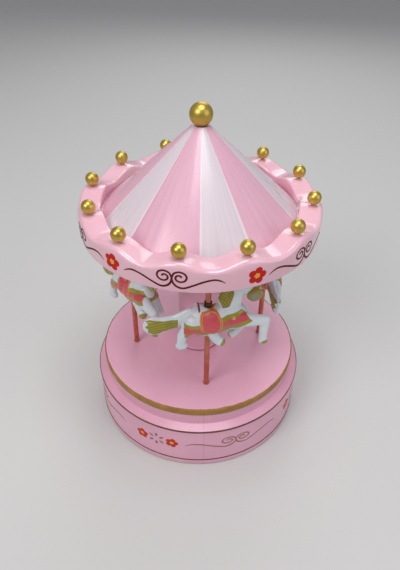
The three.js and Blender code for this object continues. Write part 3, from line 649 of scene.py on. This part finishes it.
def makeRoof(s):
    cone = span("roof_cone")
    foot = cone["foot"]
    aim = foot + s["height"]
    tip = aim - s["sink"] + s["tipLap"]
    slope = cone["radius"] / s["height"]
    inset = s["wall"] * math.hypot(1, slope)
    plug = aim - s["plug"] * s["height"]
    rings = [tip + (foot + s["rim"] - tip) * k / s["rings"] for k in range(s["rings"] + 1)]
    outside = [((aim - z) * slope, z, 0.0) for z in reversed(rings)]
    corners = [(cone["radius"] - s["rim"], foot, 0.0)] + outside + [
        (s["bore"], tip - s["boreLip"], 0.0), (s["bore"], plug, 0.0),
        ((aim - plug) * slope - inset, plug, 0.2),
        (cone["radius"] - s["rim"] - inset, foot, 0.0),
    ]
    piece = turnPiece("roofCone", corners, s["steps"])
    # the thin raised ridges along the stripes' edges
    activate(piece)
    setMode("EDIT")
    mesh = bmesh.from_edit_mesh(piece.data)
    selectFaces("DESELECT")
    half = 180 / s["steps"]
    for face in mesh.faces:
        middle = face.calc_center_median()
        angle = math.degrees(math.atan2(middle.x, -middle.y))
        near = min(abs((angle - a + 180) % 360 - 180) for a in s["ridgeAngles"])
        if near < 1.1 * half and face.normal.z > 0.3 and foot + 0.4 < middle.z / mm < tip:
            face.select = True
    bmesh.update_edit_mesh(piece.data)
    bpy.ops.mesh.extrude_region_shrink_fatten(TRANSFORM_OT_shrink_fatten={"value": s["ridge"] * mm})
    setMode("OBJECT")
    smoothBy(35)
    finishPiece(piece, "carousel", roofMaterial(roofPrint), ["roof_cone"])


ballSettings = {"radius": 3.2, "peg": 0.9, "finialPeg": 1.5, "neck": 0.05, "segments": 48, "rings": 32}


def makeBall(name, centre, radius, foot, s):
    # a sphere whose lowest faces are drawn down into the peg that holds it
    clearSelection()
    bpy.ops.mesh.primitive_uv_sphere_add(
        segments=s["segments"], ring_count=s["rings"], radius=radius * mm, location=[v * mm for v in centre])
    piece = bpy.context.object
    piece.name = name
    bpy.ops.object.transform_apply(location=True)
    setMode("EDIT")
    selectFaces("DESELECT")
    mesh = bmesh.from_edit_mesh(piece.data)
    for face in mesh.faces:
        middle = face.calc_center_median() / mm
        away = math.hypot(middle.x - centre[0], middle.y - centre[1])
        face.select = middle.z < centre[2] and away < s["peg"]
    bmesh.update_edit_mesh(piece.data)
    bpy.ops.mesh.extrude_region_move(TRANSFORM_OT_translate={"value": (0, 0, -s["neck"] * mm)})
    lowest = min(v.co.z for v in mesh.verts if v.select) / mm
    bpy.ops.mesh.extrude_region_move(TRANSFORM_OT_translate={"value": (0, 0, (foot - lowest) * mm)})
    setMode("OBJECT")
    smoothBy(40)
    return piece


def makeBalls(s):
    gold = plainMaterial("ballGold", ballGold)
    for i in range(canopySettings["lobes"]):
        node = f"rim_ball_{i + 1}"
        low, high = boxOf(node)
        radius = s["radius"]
        centre = ((low.x + high.x) / 2, (low.y + high.y) / 2, high.z - radius)
        piece = makeBall(f"rimBall{i + 1}", centre, radius, low.z, s)
        finishPiece(piece, "carousel", gold, [node])
    low, high = boxOf("finial_ball")
    radius = high.x
    piece = makeBall("finialBall", (0, 0, high.z - radius), radius, low.z, {**s, "peg": s["finialPeg"]})
    finishPiece(piece, "carousel", gold, ["finial_ball"])


# printed ornament: flat outlines and strokes, wrapped onto a wall

def wrapPiece(piece, radius, lift):
    # x along the wall, z up it and y out of it become places round the axis
    for v in piece.data.vertices:
        angle = v.co.x / mm / radius
        reach = (radius + lift + v.co.y / mm) * mm
        v.co = Vector((reach * math.sin(angle), -reach * math.cos(angle), v.co.z))


def smoothPath(points, steps=8):
    # an even curve through the points, each (x, z, half width)
    path = []
    for i in range(len(points) - 1):
        p0 = points[max(i - 1, 0)]
        p1, p2 = points[i], points[i + 1]
        p3 = points[min(i + 2, len(points) - 1)]
        for k in range(steps):
            t = k / steps
            path.append(tuple(
                0.5 * (2 * b + (c - a) * t + (2 * a - 5 * b + 4 * c - d) * t * t
                       + (3 * b - a - 3 * c + d) * t ** 3)
                for a, b, c, d in zip(p0, p1, p2, p3)))
    path.append(points[-1])
    return path


def strokePiece(name, paths, flat):
    # round strokes along the paths, pressed flat
    curve = bpy.data.curves.new(name, "CURVE")
    curve.dimensions = "3D"
    curve.bevel_depth = mm
    curve.bevel_resolution = 1
    curve.use_fill_caps = True
    for path in paths:
        spline = curve.splines.new("POLY")
        spline.points.add(len(path) - 1)
        for point, (x, z, half) in zip(spline.points, path):
            point.co = (x * mm, 0, z * mm, 1)
            point.radius = half
    piece = bpy.data.objects.new(name, curve)
    bpy.context.scene.collection.objects.link(piece)
    activate(piece)
    bpy.ops.object.convert(target="MESH")
    piece = bpy.context.object
    for v in piece.data.vertices:
        v.co.y = max(min(v.co.y, flat * mm), -flat * mm)
    return piece


scrollSettings = {
    "curlCentre": (3.2, 0.4), "squash": 0.90,
    "curl": [(180, 3.1), (135, 3.05), (90, 3.0), (45, 2.95), (0, 2.8), (-45, 2.55), (-90, 2.25), (-135, 1.95),
             (-180, 1.6), (-225, 1.3), (-270, 1.05), (-315, 0.85), (-360, 0.6)],
    "arm": [(0.05, -0.6, 0.50), (0.6, -2.5, 0.54), (2.2, -4.1, 0.56), (4.8, -4.6, 0.54),
            (8.5, -3.1, 0.52), (12.8, -1.2, 0.52), (16.6, -0.35, 0.50), (19.2, -0.9, 0.40),
            (21.4, -2.3, 0.12)],
    "thick": 0.50,
}


def scrollHalf(side, stretch, rise, s):
    # one curl, wound in from where the two halves meet, and the arm that runs on from it
    cx, cz = s["curlCentre"]
    curl = []
    for degrees, radius in s["curl"]:
        turn = math.radians(degrees)
        curl.append((cx + radius * math.cos(turn), cz + radius * math.sin(turn) * s["squash"], s["thick"]))
    curl = smoothPath(curl)
    arm = smoothPath([(0.05, 0.35, s["thick"])] + s["arm"])
    path = list(reversed(curl)) + arm[1:]
    return [(side * x * stretch, z * rise, half) for x, z, half in path]


def raiseFace(thick):
    selectFaces("SELECT")
    bpy.ops.mesh.extrude_region_move(TRANSFORM_OT_translate={"value": (0, thick * mm, 0)})
    setMode("OBJECT")


def flowerOutline(name, x, z, size, turn, thick, petals=5):
    # a circle drawn in between the petals, then filled ring by ring so that it can bend round a wall
    clearSelection()
    bpy.ops.mesh.primitive_circle_add(vertices=petals * 16, radius=mm)
    piece = bpy.context.object
    piece.name = name
    for v in piece.data.vertices:
        angle = math.atan2(v.co.y, v.co.x)
        off = (angle - turn + math.pi / petals) % (2 * math.pi / petals) - math.pi / petals
        reach = 0.60 * math.cos(off) + math.sqrt(0.165 - (0.60 * math.sin(off)) ** 2)
        radius = size * reach * mm
        v.co = Vector((x * mm + radius * math.cos(angle), 0, z * mm + radius * math.sin(angle)))
    setMode("EDIT")
    selectFaces("SELECT")
    for shrink in (0.75, 0.66, 0.5, 0.1):
        bpy.ops.mesh.extrude_edges_move()
        bpy.ops.transform.resize(value=(shrink, 1, shrink), center_override=(x * mm, 0, z * mm))
    bpy.ops.mesh.edge_face_add()
    raiseFace(thick)
    return piece


def leafOutline(name, x, z, length, width, turn, thick):
    clearSelection()
    bpy.ops.mesh.primitive_circle_add(vertices=20, radius=mm, fill_type="NGON")
    piece = bpy.context.object
    piece.name = name
    for v in piece.data.vertices:
        angle = math.atan2(v.co.y, v.co.x)
        along = math.cos(angle) * length / 2
        across = math.sin(angle) * abs(math.sin(angle)) ** 0.6 * width / 2
        v.co = Vector((
            (x + along * math.cos(turn) - across * math.sin(turn)) * mm, 0,
            (z + along * math.sin(turn) + across * math.cos(turn)) * mm))
    setMode("EDIT")
    raiseFace(thick)
    return piece


def shiftPath(path, dx, dz):
    return [(x + dx, z + dz, half) for x, z, half in path]


printSettings = {
    "thick": 0.03,
    "fasciaScrolls": [(-65.5, 125.0), (-10.9, 125.2), (51.0, 124.7), (110, 125), (169, 125), (231, 125)],
    "fasciaFlowers": [(-38.7, 124.5), (23.9, 123.9), (81, 124.3), (140, 124.3), (200, 124.3), (262, 124.3)],
    "fasciaSize": 4.1, "fasciaHeart": 1.35, "fasciaTurns": (1.35, 0.6),
    "drumRepeat": 4, "drumTangent": (20.7, 18.3), "drumStretch": 1.26, "drumRise": 0.92,
    "drumFlowers": [(-30.4, 16.9), (-13.4, 16.9)], "drumSize": 3.5,
    "drumHeart": 1.25, "drumTurns": (0.3, 0.9),
    "sprigCentre": (-22.0, 17.1), "sprigReach": (3.5, 3.1), "leaf": (3.0, 1.5),
    "leafTurns": (35, 90, 145, 215, 270, 325),
}


def printPiece(name, pieces, radius, lift, body, material):
    piece = joinPieces(name, pieces)
    wrapPiece(piece, radius, lift)
    settle(piece, 30)
    finishPiece(piece, body, material)


def makeFasciaPrint(s):
    wall = span("canopy_ring")["radius"] - canopySettings["printRoom"]
    perDegree = wall * math.pi / 180
    thick = s["thick"]
    strokes, flowers, hearts = [], [], []
    for angle, z in s["fasciaScrolls"]:
        for side in (-1, 1):
            half = scrollHalf(side, 1.0, 1.0, scrollSettings)
            strokes.append(shiftPath(half, angle * perDegree, z))
    flowerTurn, heartTurn = s["fasciaTurns"]
    for k, (angle, fz) in enumerate(s["fasciaFlowers"]):
        fx = angle * perDegree
        flowers.append(flowerOutline(f"fasciaFlower{k}", fx, fz, s["fasciaSize"], flowerTurn, 2 * thick))
        hearts.append(flowerOutline(f"fasciaHeart{k}", fx, fz, s["fasciaHeart"], heartTurn, 3 * thick))
    lines = strokePiece("fasciaStrokes", strokes, thick)
    printPiece("fasciaScrolls", [lines], wall, 0, "carousel",
               plainMaterial("maroonInk", maroonInk))
    printPiece("fasciaFlowers", flowers, wall, -thick, "carousel",
               plainMaterial("redInk", redInk))
    printPiece("fasciaFlowerHearts", hearts, wall, -1.5 * thick, "carousel",
               plainMaterial("yellowInk", yellowInk))


def makeDrumPrint(s):
    wall = span("drum_shell")["radius"] - drumSettings["lip"]
    perDegree = wall * math.pi / 180
    thick = s["thick"]
    strokes, flowers, hearts, leaves = [], [], [], []
    flowerTurn, heartTurn = s["drumTurns"]
    for k in range(s["drumRepeat"]):
        offset = 90 * k
        tx = (s["drumTangent"][0] + offset) * perDegree
        for side in (-1, 1):
            half = scrollHalf(side, s["drumStretch"], s["drumRise"], scrollSettings)
            strokes.append(shiftPath(half, tx, s["drumTangent"][1]))
        for j, (angle, z) in enumerate(s["drumFlowers"]):
            fx = (angle + offset) * perDegree
            flowers.append(flowerOutline(
                f"drumFlower{k}{j}", fx, z, s["drumSize"], flowerTurn + j, 2 * thick))
            hearts.append(flowerOutline(
                f"drumHeart{k}{j}", fx, z, s["drumHeart"], heartTurn, 3 * thick))
        sx = (s["sprigCentre"][0] + offset) * perDegree
        for turn in s["leafTurns"]:
            a = math.radians(turn)
            lx = sx + s["sprigReach"][0] * math.cos(a)
            lz = s["sprigCentre"][1] + s["sprigReach"][1] * math.sin(a)
            leaves.append(leafOutline(f"drumLeaf{k}{turn}", lx, lz, *s["leaf"], a, 2 * thick))
    lines = strokePiece("drumStrokes", strokes, thick)
    brown = plainMaterial("brownInk", brownInk)
    printPiece("drumScrolls", [lines], wall, 0, "base", brown)
    printPiece("drumSprigs", leaves, wall, -thick, "base", brown)
    printPiece("drumFlowers", flowers, wall, -thick, "base",
               plainMaterial("emberInk", emberInk))
    printPiece("drumFlowerHearts", hearts, wall, -1.5 * thick, "base",
               plainMaterial("drumYellowInk", yellowInk))


# poles and their collars

poleSettings = {
    "count": 4, "phase": 7.0, "ring": 35.3, "radius": 1.35, "flare": 0.25, "footHeight": 40.6,
    "flareTall": 0.6, "flareEnd": 1.0, "collarRoom": 0.05, "collarWall": 0.55, "collarLip": 0.15,
    "collarWaist": 0.1, "collarSteps": (0.6, 1.2),
    "turns": [0, 0, 0, 32], "drops": [0, 0, 0, 4.6],   # each horse on its own pole
}


def makePoles(s):
    copper = plainMaterial("poleCopper", poleCopper)
    bronze = plainMaterial("collarBronze", collarBronze)
    low, high = boxOf("pole_1")
    radius, foot = s["radius"], s["footHeight"]
    poleCorners = [
        (0.0, low.z, 0.0), (radius, low.z, 0.1), (radius, foot, 0.0), (radius + s["flare"], foot, 0.1),
        (radius + s["flare"], foot + s["flareTall"], 0.2), (radius, foot + s["flareEnd"], 0.2),
        (radius, high.z, 0.2), (0.0, high.z, 0.0),
    ]
    collarLow, collarHigh = boxOf("pole_collar_1")
    bore, outer = radius + s["collarRoom"], radius + s["collarWall"]
    lipTop, waist = (collarLow.z + rise for rise in s["collarSteps"])
    collarCorners = [
        (bore, collarLow.z, 0.0), (outer + s["collarLip"], collarLow.z, 0.15),
        (outer + s["collarLip"], lipTop, 0.2), (outer - s["collarWaist"], waist, 0.2),
        (outer, collarHigh.z, 0.3), (bore, collarHigh.z, 0.0),
    ]
    for name, corners, look, slot, node in (
            ("pole", poleCorners, copper, "copper_pole", "pole_"),
            ("poleCollar", collarCorners, bronze, "dark_gold", "pole_collar_")):
        piece = turnPiece(name, corners, 32, closed=name != "pole")
        piece.data.transform(Matrix.Translation((0, -s["ring"] * mm, 0)))
        for k in range(s["count"]):
            copy = turnedCopy(piece, f"{name}{k + 1}", s["phase"] + 90 * k)
            if name == "poleCollar":
                copy.data.transform(Matrix.Translation((0, 0, -s["drops"][k] * mm)))
            finishPiece(copy, "carousel", look, [f"{node}{k + 1}"])
        bpy.data.objects.remove(piece)


# the horses: forward along +X, out towards -Y, height from the floor

horseSettings = {
    "voxel": 0.30, "smooth": 4,
    "swells": [   # forward, out, height, then three radii, then the pitch in degrees
        (-3.4, 0, 85.4, 7.4, 6.0, 8.2, 0), (4.6, 0, 85.2, 11.6, 5.9, 7.4, 16),       # rump and barrel
        (11.8, 0, 86.6, 7.4, 5.4, 7.6, 20), (15.4, 0, 103.6, 3.8, 2.6, 3.7, 0),      # chest and brow
        (20.9, 1.7, 99.6, 3.8, 1.2, 3.6, 0), (20.9, -1.7, 99.6, 3.8, 1.2, 3.6, 0),   # rosettes
        (-12.9, 4.4, 73.4, 3.0, 1.9, 2.3, 0), (-2.0, 0, 81.6, 7.6, 4.4, 5.4, 0),     # hoof and belly
    ],
    "limbs": [    # two ends, each forward, out, height and radius, then how flat across
        ((9.6, 0, 90.0, 5.4), (13.0, 0, 103.0, 3.6), 0.78),  # neck
        ((14.4, 0, 104.2, 3.4), (21.4, 0, 99.6, 2.1), 0.80),  # head
        ((21.2, 0, 99.8, 2.3), (22.4, 0, 98.9, 2.0), 0.90),
        ((12.9, 1.5, 106.4, 1.1), (12.0, 2.2, 110.2, 0.3), 0.8),  # ears
        ((12.9, -1.5, 106.4, 1.1), (12.0, -2.2, 110.2, 0.3), 0.8),
        ((6.9, 0, 95.6, 2.7), (8.8, 0, 104.4, 3.0), 0.62),  # mane
        ((13.0, 3.3, 86.6, 4.3), (26.4, 4.2, 85.9, 2.6), 0.8),  # near foreleg
        ((26.4, 4.2, 85.8, 2.5), (26.2, 4.4, 75.0, 1.9), 0.85),
        ((26.2, 4.4, 75.0, 1.9), (26.5, 4.5, 72.6, 2.3), 0.9),
        ((13.0, -3.3, 85.0, 3.9), (19.0, -4.0, 78.4, 2.3), 0.85),  # far foreleg
        ((19.0, -4.0, 78.4, 2.2), (14.4, -4.0, 71.8, 1.8), 0.85),
        ((14.4, -4.0, 71.8, 1.9), (12.8, -4.0, 70.8, 2.1), 0.9),
        ((-7.0, 3.0, 86.0, 4.8), (-12.4, 4.2, 80.2, 2.5), 0.8),  # near hind leg
        ((-12.4, 4.2, 80.2, 2.4), (-13.2, 4.4, 74.6, 2.1), 0.85),
        ((-2.6, -1.8, 81.0, 4.4), (1.9, -1.2, 74.4, 3.0), 0.85),  # far hind leg
        ((1.9, -1.2, 74.4, 2.9), (5.2, -1.0, 70.0, 2.5), 0.85),
        ((5.2, -1.0, 70.0, 2.5), (6.7, -1.0, 69.0, 2.6), 0.9),
        ((-8.6, 0, 89.6, 3.0), (-14.8, 0, 85.4, 3.9), 0.6),  # tail
        ((-14.8, 0, 85.4, 3.9), (-21.0, 0, 84.0, 4.3), 0.48),
        ((-21.0, 0, 84.0, 4.3), (-25.3, 0, 83.2, 5.5), 0.40),
        ((-5.0, -2.6, 92.4, 1.2), (-5.0, 2.6, 92.4, 1.2), 1.0),  # back and front of the seat
        ((5.4, -2.4, 92.6, 1.1), (5.4, 2.4, 92.6, 1.1), 1.0),
    ],
    "soles": [    # forward from, forward to, height of the flat foot
        (-20.0, -8.0, 71.9), (23.0, 30.0, 72.6),
    ],
}

# outlines of the paint, as forward and height
paintSettings = {
    "belt": [(-11.6, 87.4), (-4, 87.0), (2, 88.0), (8, 90.4), (15.1, 92.4), (20.1, 87.6), (14.4, 84.2),
             (6, 79.9), (0, 77.9), (-5, 78.0), (-11.6, 79.6)],
    "stripe": [(-11.9, 85.6), (-4, 85.1), (2, 85.8), (8, 88.0), (15.9, 91.0), (18.9, 88.6), (13.6, 87.1),
               (6, 84.2), (0, 81.9), (-5, 81.4), (-11.9, 82.4)],
    "saddle": [(-3.4, 92.5), (-4.2, 91.4), (-4.6, 88.3), (-4.0, 83.6), (-2.2, 81.1), (2.0, 79.4), (4.9, 81.2),
               (6.2, 84.2), (6.2, 88.0), (4.8, 91.2), (3.8, 92.3)],
    "seatEdge": [(-4.9, 99), (-4.9, 92.6), (-4.0, 92.6), (-4.0, 99)],
    "plume": [(-14.0, 87.8), (-20.8, 86.9), (-27.4, 88.0), (-29.6, 86.8), (-28.2, 85.6), (-30.0, 84.0),
              (-28.2, 82.4), (-28.6, 80.3), (-25.6, 78.6), (-20.5, 79.9), (-14.2, 82.4)],
    "mane": [(4.4, 107), (4.4, 97.0), (6.4, 93.2), (9.4, 94.6), (11.4, 100.8), (11.0, 107)],
    "strands": [((-14.0, 86.0), (-28.0, 84.0)), ((5.0, 100.5), (11.0, 96.0))],
    "hooves": [(27.2, 5.6, 72.4, 2.1), (8.6, 0.0, 68.4, 2.6), (11.4, -4.0, 69.8, 1.9),
               (-15.2, 5.2, 70.8, 1.3)],
    "rosette": (20.9, 99.6, 3.6),
    "eye": (16.6, 104.9, 0.75),
    "relief": [   # what rises, how far in it starts, how high, and how wide its edge is
        ("belt", 0, 0.14, 0.4), ("stripe", 0, 0.16, 0.4), ("saddle", 0, 0.42, 0.5),
        ("saddle", 1.5, 0.15, 0.6), ("rosette", 0, 0.45, 0.7), ("rosette", 1.9, -0.25, 0.5),
    ],
    "strandEvery": 1.5, "strandDepth": 0.30, "tailEnd": -10,
}
outlineNames = ("belt", "stripe", "saddle", "seatEdge", "plume", "mane")
valueNames = ("belt", "stripe", "saddle", "seatEdge", "hair", "strand", "hoof", "rosette", "eye")


def horsePoint(forward, out, height):
    return Vector((forward, -poleSettings["ring"] - out, height)) * mm


def limbPiece(start, end, flat):
    # a cone with a ball at each end, pressed flat across
    a, b = horsePoint(*start[:3]), horsePoint(*end[:3])
    turn = (b - a).to_track_quat("Z", "Y")
    parts = []
    bpy.ops.mesh.primitive_cone_add(
        vertices=20, radius1=start[3] * mm, radius2=end[3] * mm, depth=(b - a).length,
        location=(a + b) / 2, rotation=turn.to_euler())
    parts.append(bpy.context.object)
    for place, radius in ((a, start[3]), (b, end[3])):
        bpy.ops.mesh.primitive_uv_sphere_add(segments=20, ring_count=12, radius=radius * mm, location=place)
        parts.append(bpy.context.object)
    piece = joinPieces("limb", parts)
    bpy.ops.object.transform_apply(location=True, rotation=True, scale=True)
    for v in piece.data.vertices:
        share = min(max((v.co - a).dot(b - a) / (b - a).length_squared, 0), 1)
        middle = a.y + (b.y - a.y) * share
        v.co.y = middle + (v.co.y - middle) * flat
    return piece


def swellPiece(forward, out, height, long, wide, tall, pitch):
    bpy.ops.mesh.primitive_uv_sphere_add(
        segments=32, ring_count=20, radius=mm, location=horsePoint(forward, out, height))
    piece = bpy.context.object
    piece.scale = (long, wide, tall)
    piece.rotation_euler = (0, -math.radians(pitch), 0)
    bpy.ops.object.transform_apply(location=True, rotation=True, scale=True)
    return piece


def insideDistance(points, outline):
    # how far inside the outline each point lies, below nought outside it
    corners = np.array(outline, float)
    nearest = np.full(len(points), 1e9)
    inside = np.zeros(len(points), bool)
    for a, b in zip(corners, np.roll(corners, -1, 0)):
        along = b - a
        share = np.clip(((points - a) @ along) / (along @ along), 0, 1)
        gap = np.linalg.norm(points - a - share[:, None] * along, axis=1)
        nearest = np.minimum(nearest, gap)
        crosses = (a[1] > points[:, 1]) != (b[1] > points[:, 1])
        rise = along[1] if abs(along[1]) > 1e-9 else 1e-9
        inside ^= crosses & (points[:, 0] < a[0] + along[0] * (points[:, 1] - a[1]) / rise)
    return np.where(inside, nearest, -nearest)


def easeIn(distance, width):
    share = np.clip(distance / width, 0, 1)
    return share * share * (3 - 2 * share)


def storeValues(piece, name, values):
    attribute = piece.data.attributes.new(name, "FLOAT", "POINT")
    attribute.data.foreach_set("value", values.astype(np.float32))


def paintHorse(piece, s):
    # distances to each painted outline, kept for the material and raised a little as relief
    mesh = piece.data
    places = np.empty(len(mesh.vertices) * 3)
    normals = np.empty(len(mesh.vertices) * 3)
    mesh.vertices.foreach_get("co", places)
    mesh.vertex_normals.foreach_get("vector", normals)
    places = places.reshape(-1, 3)
    normals = normals.reshape(-1, 3)
    local = np.stack([places[:, 0], -places[:, 1] - poleSettings["ring"] * mm, places[:, 2]], 1) / mm
    flat = local[:, [0, 2]]
    values = {name: insideDistance(flat, s[name]) for name in outlineNames}
    values["hair"] = np.maximum(values["plume"], values["mane"])
    strands = []
    for start, end in s["strands"]:
        along = (np.array(end) - start) / np.linalg.norm(np.array(end) - start)
        strands.append((flat - start) @ np.array([-along[1], along[0]]))
    values["strand"] = np.where(flat[:, 0] < s["tailEnd"], strands[0], strands[1])
    hoofGaps = [radius - np.linalg.norm(local - (t, out, z), axis=1) for t, out, z, radius in s["hooves"]]
    values["hoof"] = np.max(hoofGaps, axis=0)
    for name in ("rosette", "eye"):
        t, z, radius = s[name]
        values[name] = radius - np.linalg.norm(flat - (t, z), axis=1)
    raised = sum(high * easeIn(values[name] - start, wide) for name, start, high, wide in s["relief"])
    grooves = 0.5 + 0.5 * np.cos(values["strand"] * 2 * np.pi / s["strandEvery"])
    raised -= s["strandDepth"] * grooves * easeIn(values["hair"], 0.5)
    places += normals * raised[:, None] * mm
    mesh.vertices.foreach_set("co", places.ravel())
    mesh.update()
    for name in valueNames:
        storeValues(piece, name, values[name])


def makeHorseBody(s):
    clearSelection()
    parts = [limbPiece(*limb) for limb in s["limbs"]]
    parts += [swellPiece(*swell) for swell in s["swells"]]
    piece = joinPieces("horse", parts)
    applyModifier(piece, "REMESH", mode="VOXEL", voxel_size=s["voxel"] * mm)
    applyModifier(piece, "SMOOTH", factor=0.5, iterations=s["smooth"])
    for v in piece.data.vertices:
        for low, high, floor in s["soles"]:
            if low < v.co.x / mm < high:
                v.co.z = max(v.co.z, floor * mm)
    activate(piece)
    bpy.ops.object.shade_smooth()
    return piece


horsePaint = {
    "white": (0.72, 0.79, 0.815, 1), "whiteTone": (0.66, 0.73, 0.775, 1), "deepRed": (0.28, 0.02, 0.04, 1),
    "olive": (0.37, 0.33, 0.018, 1), "oliveTone": (0.29, 0.25, 0.015, 1),
    "coral": (0.68, 0.085, 0.10, 1), "coralTone": (0.60, 0.065, 0.085, 1),
    "gold": (0.60, 0.36, 0.05, 1), "dark": (0.13, 0.06, 0.02, 1), "centre": (0.28, 0.26, 0.28, 1),
    "eye": (0.02, 0.015, 0.015, 1),
    "rimLines": [(0.0, 0.45), (0.85, 1.2)],   # the two gold lines round the saddle
    "hairStart": 0.15, "centreStart": 1.9, "softness": 0.06, "sharpness": 0.05,
    "rough": 0.33, "roughSpread": 0.06, "grain": 1800.0, "bump": 0.1, "coat": 0.3, "coatRough": 0.12,
}


def horseMaterial(s):
    material, tree, shader = startMaterial("horsePaint")
    place = objectPlace(tree)
    values = {}
    for name in valueNames:
        values[name] = addNode(tree, "Attribute", attribute_name=name).outputs["Fac"]
    drift = spread(tree, cloudNoise(tree, place, 110.0), 0.35, 0.65)
    wobble = spread(tree, cloudNoise(tree, place, 420.0), 0.0, 1.0, -0.22, 0.22)

    def over(colour, name, edge, paint):
        value = calc(tree, "ADD", values[name], wobble)
        share = spread(tree, value, edge - s["softness"], edge + s["softness"])
        return blendColours(tree, share, colour, paint)

    olive = blendColours(tree, drift, s["olive"], s["oliveTone"])
    coral = blendColours(tree, drift, s["coral"], s["coralTone"])
    # the mane's and tail's grooves are painted darker towards their bottoms: painted shade in the hollows
    # that the relief also cuts
    turn = calc(tree, "MULTIPLY", values["strand"], 2 * math.pi / paintSettings["strandEvery"])
    grooveShade = spread(tree, calc(tree, "COSINE", turn), 0.35, 1.0, 0, 0.5)
    hairWithGrooveShade = blendColours(tree, grooveShade, olive, s["dark"])
    colour = blendColours(tree, drift, s["white"], s["whiteTone"])
    colour = over(colour, "belt", 0, olive)
    colour = over(colour, "stripe", 0, coral)
    colour = over(colour, "hair", s["hairStart"], hairWithGrooveShade)
    colour = over(colour, "rosette", 0, olive)
    colour = over(colour, "rosette", s["centreStart"], s["centre"])
    colour = over(colour, "hoof", 0, olive)
    colour = over(colour, "seatEdge", 0, s["deepRed"])
    (outer, outerEnd), (inner, innerEnd) = s["rimLines"]
    for edge, paint in ((outer, s["gold"]), (outerEnd, coral), (inner, s["gold"]), (innerEnd, coral)):
        value = spread(tree, values["saddle"], edge - s["sharpness"], edge + s["sharpness"])
        colour = blendColours(tree, value, colour, paint)
    eye = spread(tree, values["eye"], -s["sharpness"], s["sharpness"])
    colour = blendColours(tree, eye, colour, s["eye"])
    tree.links.new(colour, shader.inputs["Base Color"])
    setFinish(tree, shader, place, s)
    return material


def makeHorses():
    print("horse body")
    horse = makeHorseBody(horseSettings)
    paintHorse(horse, paintSettings)
    look = horseMaterial(horsePaint)
    print("horse copies")
    for k in range(poleSettings["count"]):
        turn = poleSettings["turns"][k]
        drop = poleSettings["drops"][k]
        copy = turnedCopy(horse, f"horse{k + 1}", 0)
        centre = Vector((0, -poleSettings["ring"], 0)) * mm
        own = Matrix.Translation(centre) @ Matrix.Rotation(math.radians(turn), 4, "Z")
        own = own @ Matrix.Translation(Vector((0, 0, -drop * mm)) - centre)
        around = Matrix.Rotation(math.radians(poleSettings["phase"] + 90 * k), 4, "Z")
        copy.data.transform(around @ own)
        finishPiece(copy, "carousel", look, [f"horse_{k + 1}"])
    bpy.data.objects.remove(horse)


# the movement and the fasteners keep their shapes, and take worked metal or moulded plastic

movementLooks = {
    "brassMetal": ["deck_bush", "spring_barrel", "barrel_lid", "crown_wheel", "cylinder_pinion",
                   "tune_cylinder", "cylinder_wheel", "worm_wheel"],
    "steelMetal": ["cover_screw_1", "cover_screw_2", "cover_screw_3", "movement_screw_1", "movement_screw_2",
                   "movement_screw_3", "mainspring", "comb", "comb_screw_1", "comb_screw_2", "winding_shaft",
                   "idler_pinion", "governor_worm", "turntable_screw"],
    "zincCasting": ["bedplate", "inner_bracket", "outer_bracket", "governor_bracket"],
    "blackMoulding": ["bottom_cover", "governor_fan"],
}


def paintMovement():
    for look, nodes in movementLooks.items():
        material = plainMaterial(look, metalLooks[look])
        for node in nodes:
            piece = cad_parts[node]
            piece.data.materials.clear()
            piece.data.materials.append(material)


print("camera and studio")
addCamera(cameraSettings)
addStudio(studioSettings)
print("base")
makeDrum(drumSettings)
makeDeck(deckSettings)
makeTrimLines(trimSettings)
makeDrumPrint(printSettings)
print("carousel")
makeTurntable(traySettings)
makeGoldBand(trimSettings)
makeColumn(columnSettings)
makeCeiling(ceilingSettings)
print("canopy")
makeCanopy(canopySettings)
makeFasciaPrint(printSettings)
makeRoof(roofSettings)
makeBalls(ballSettings)
print("poles")
makePoles(poleSettings)
print("horses")
makeHorses()
print("movement")
paintMovement()
bpy.context.scene.view_settings.view_transform = "Standard"

bpy.context.view_layer.update()
print("done")
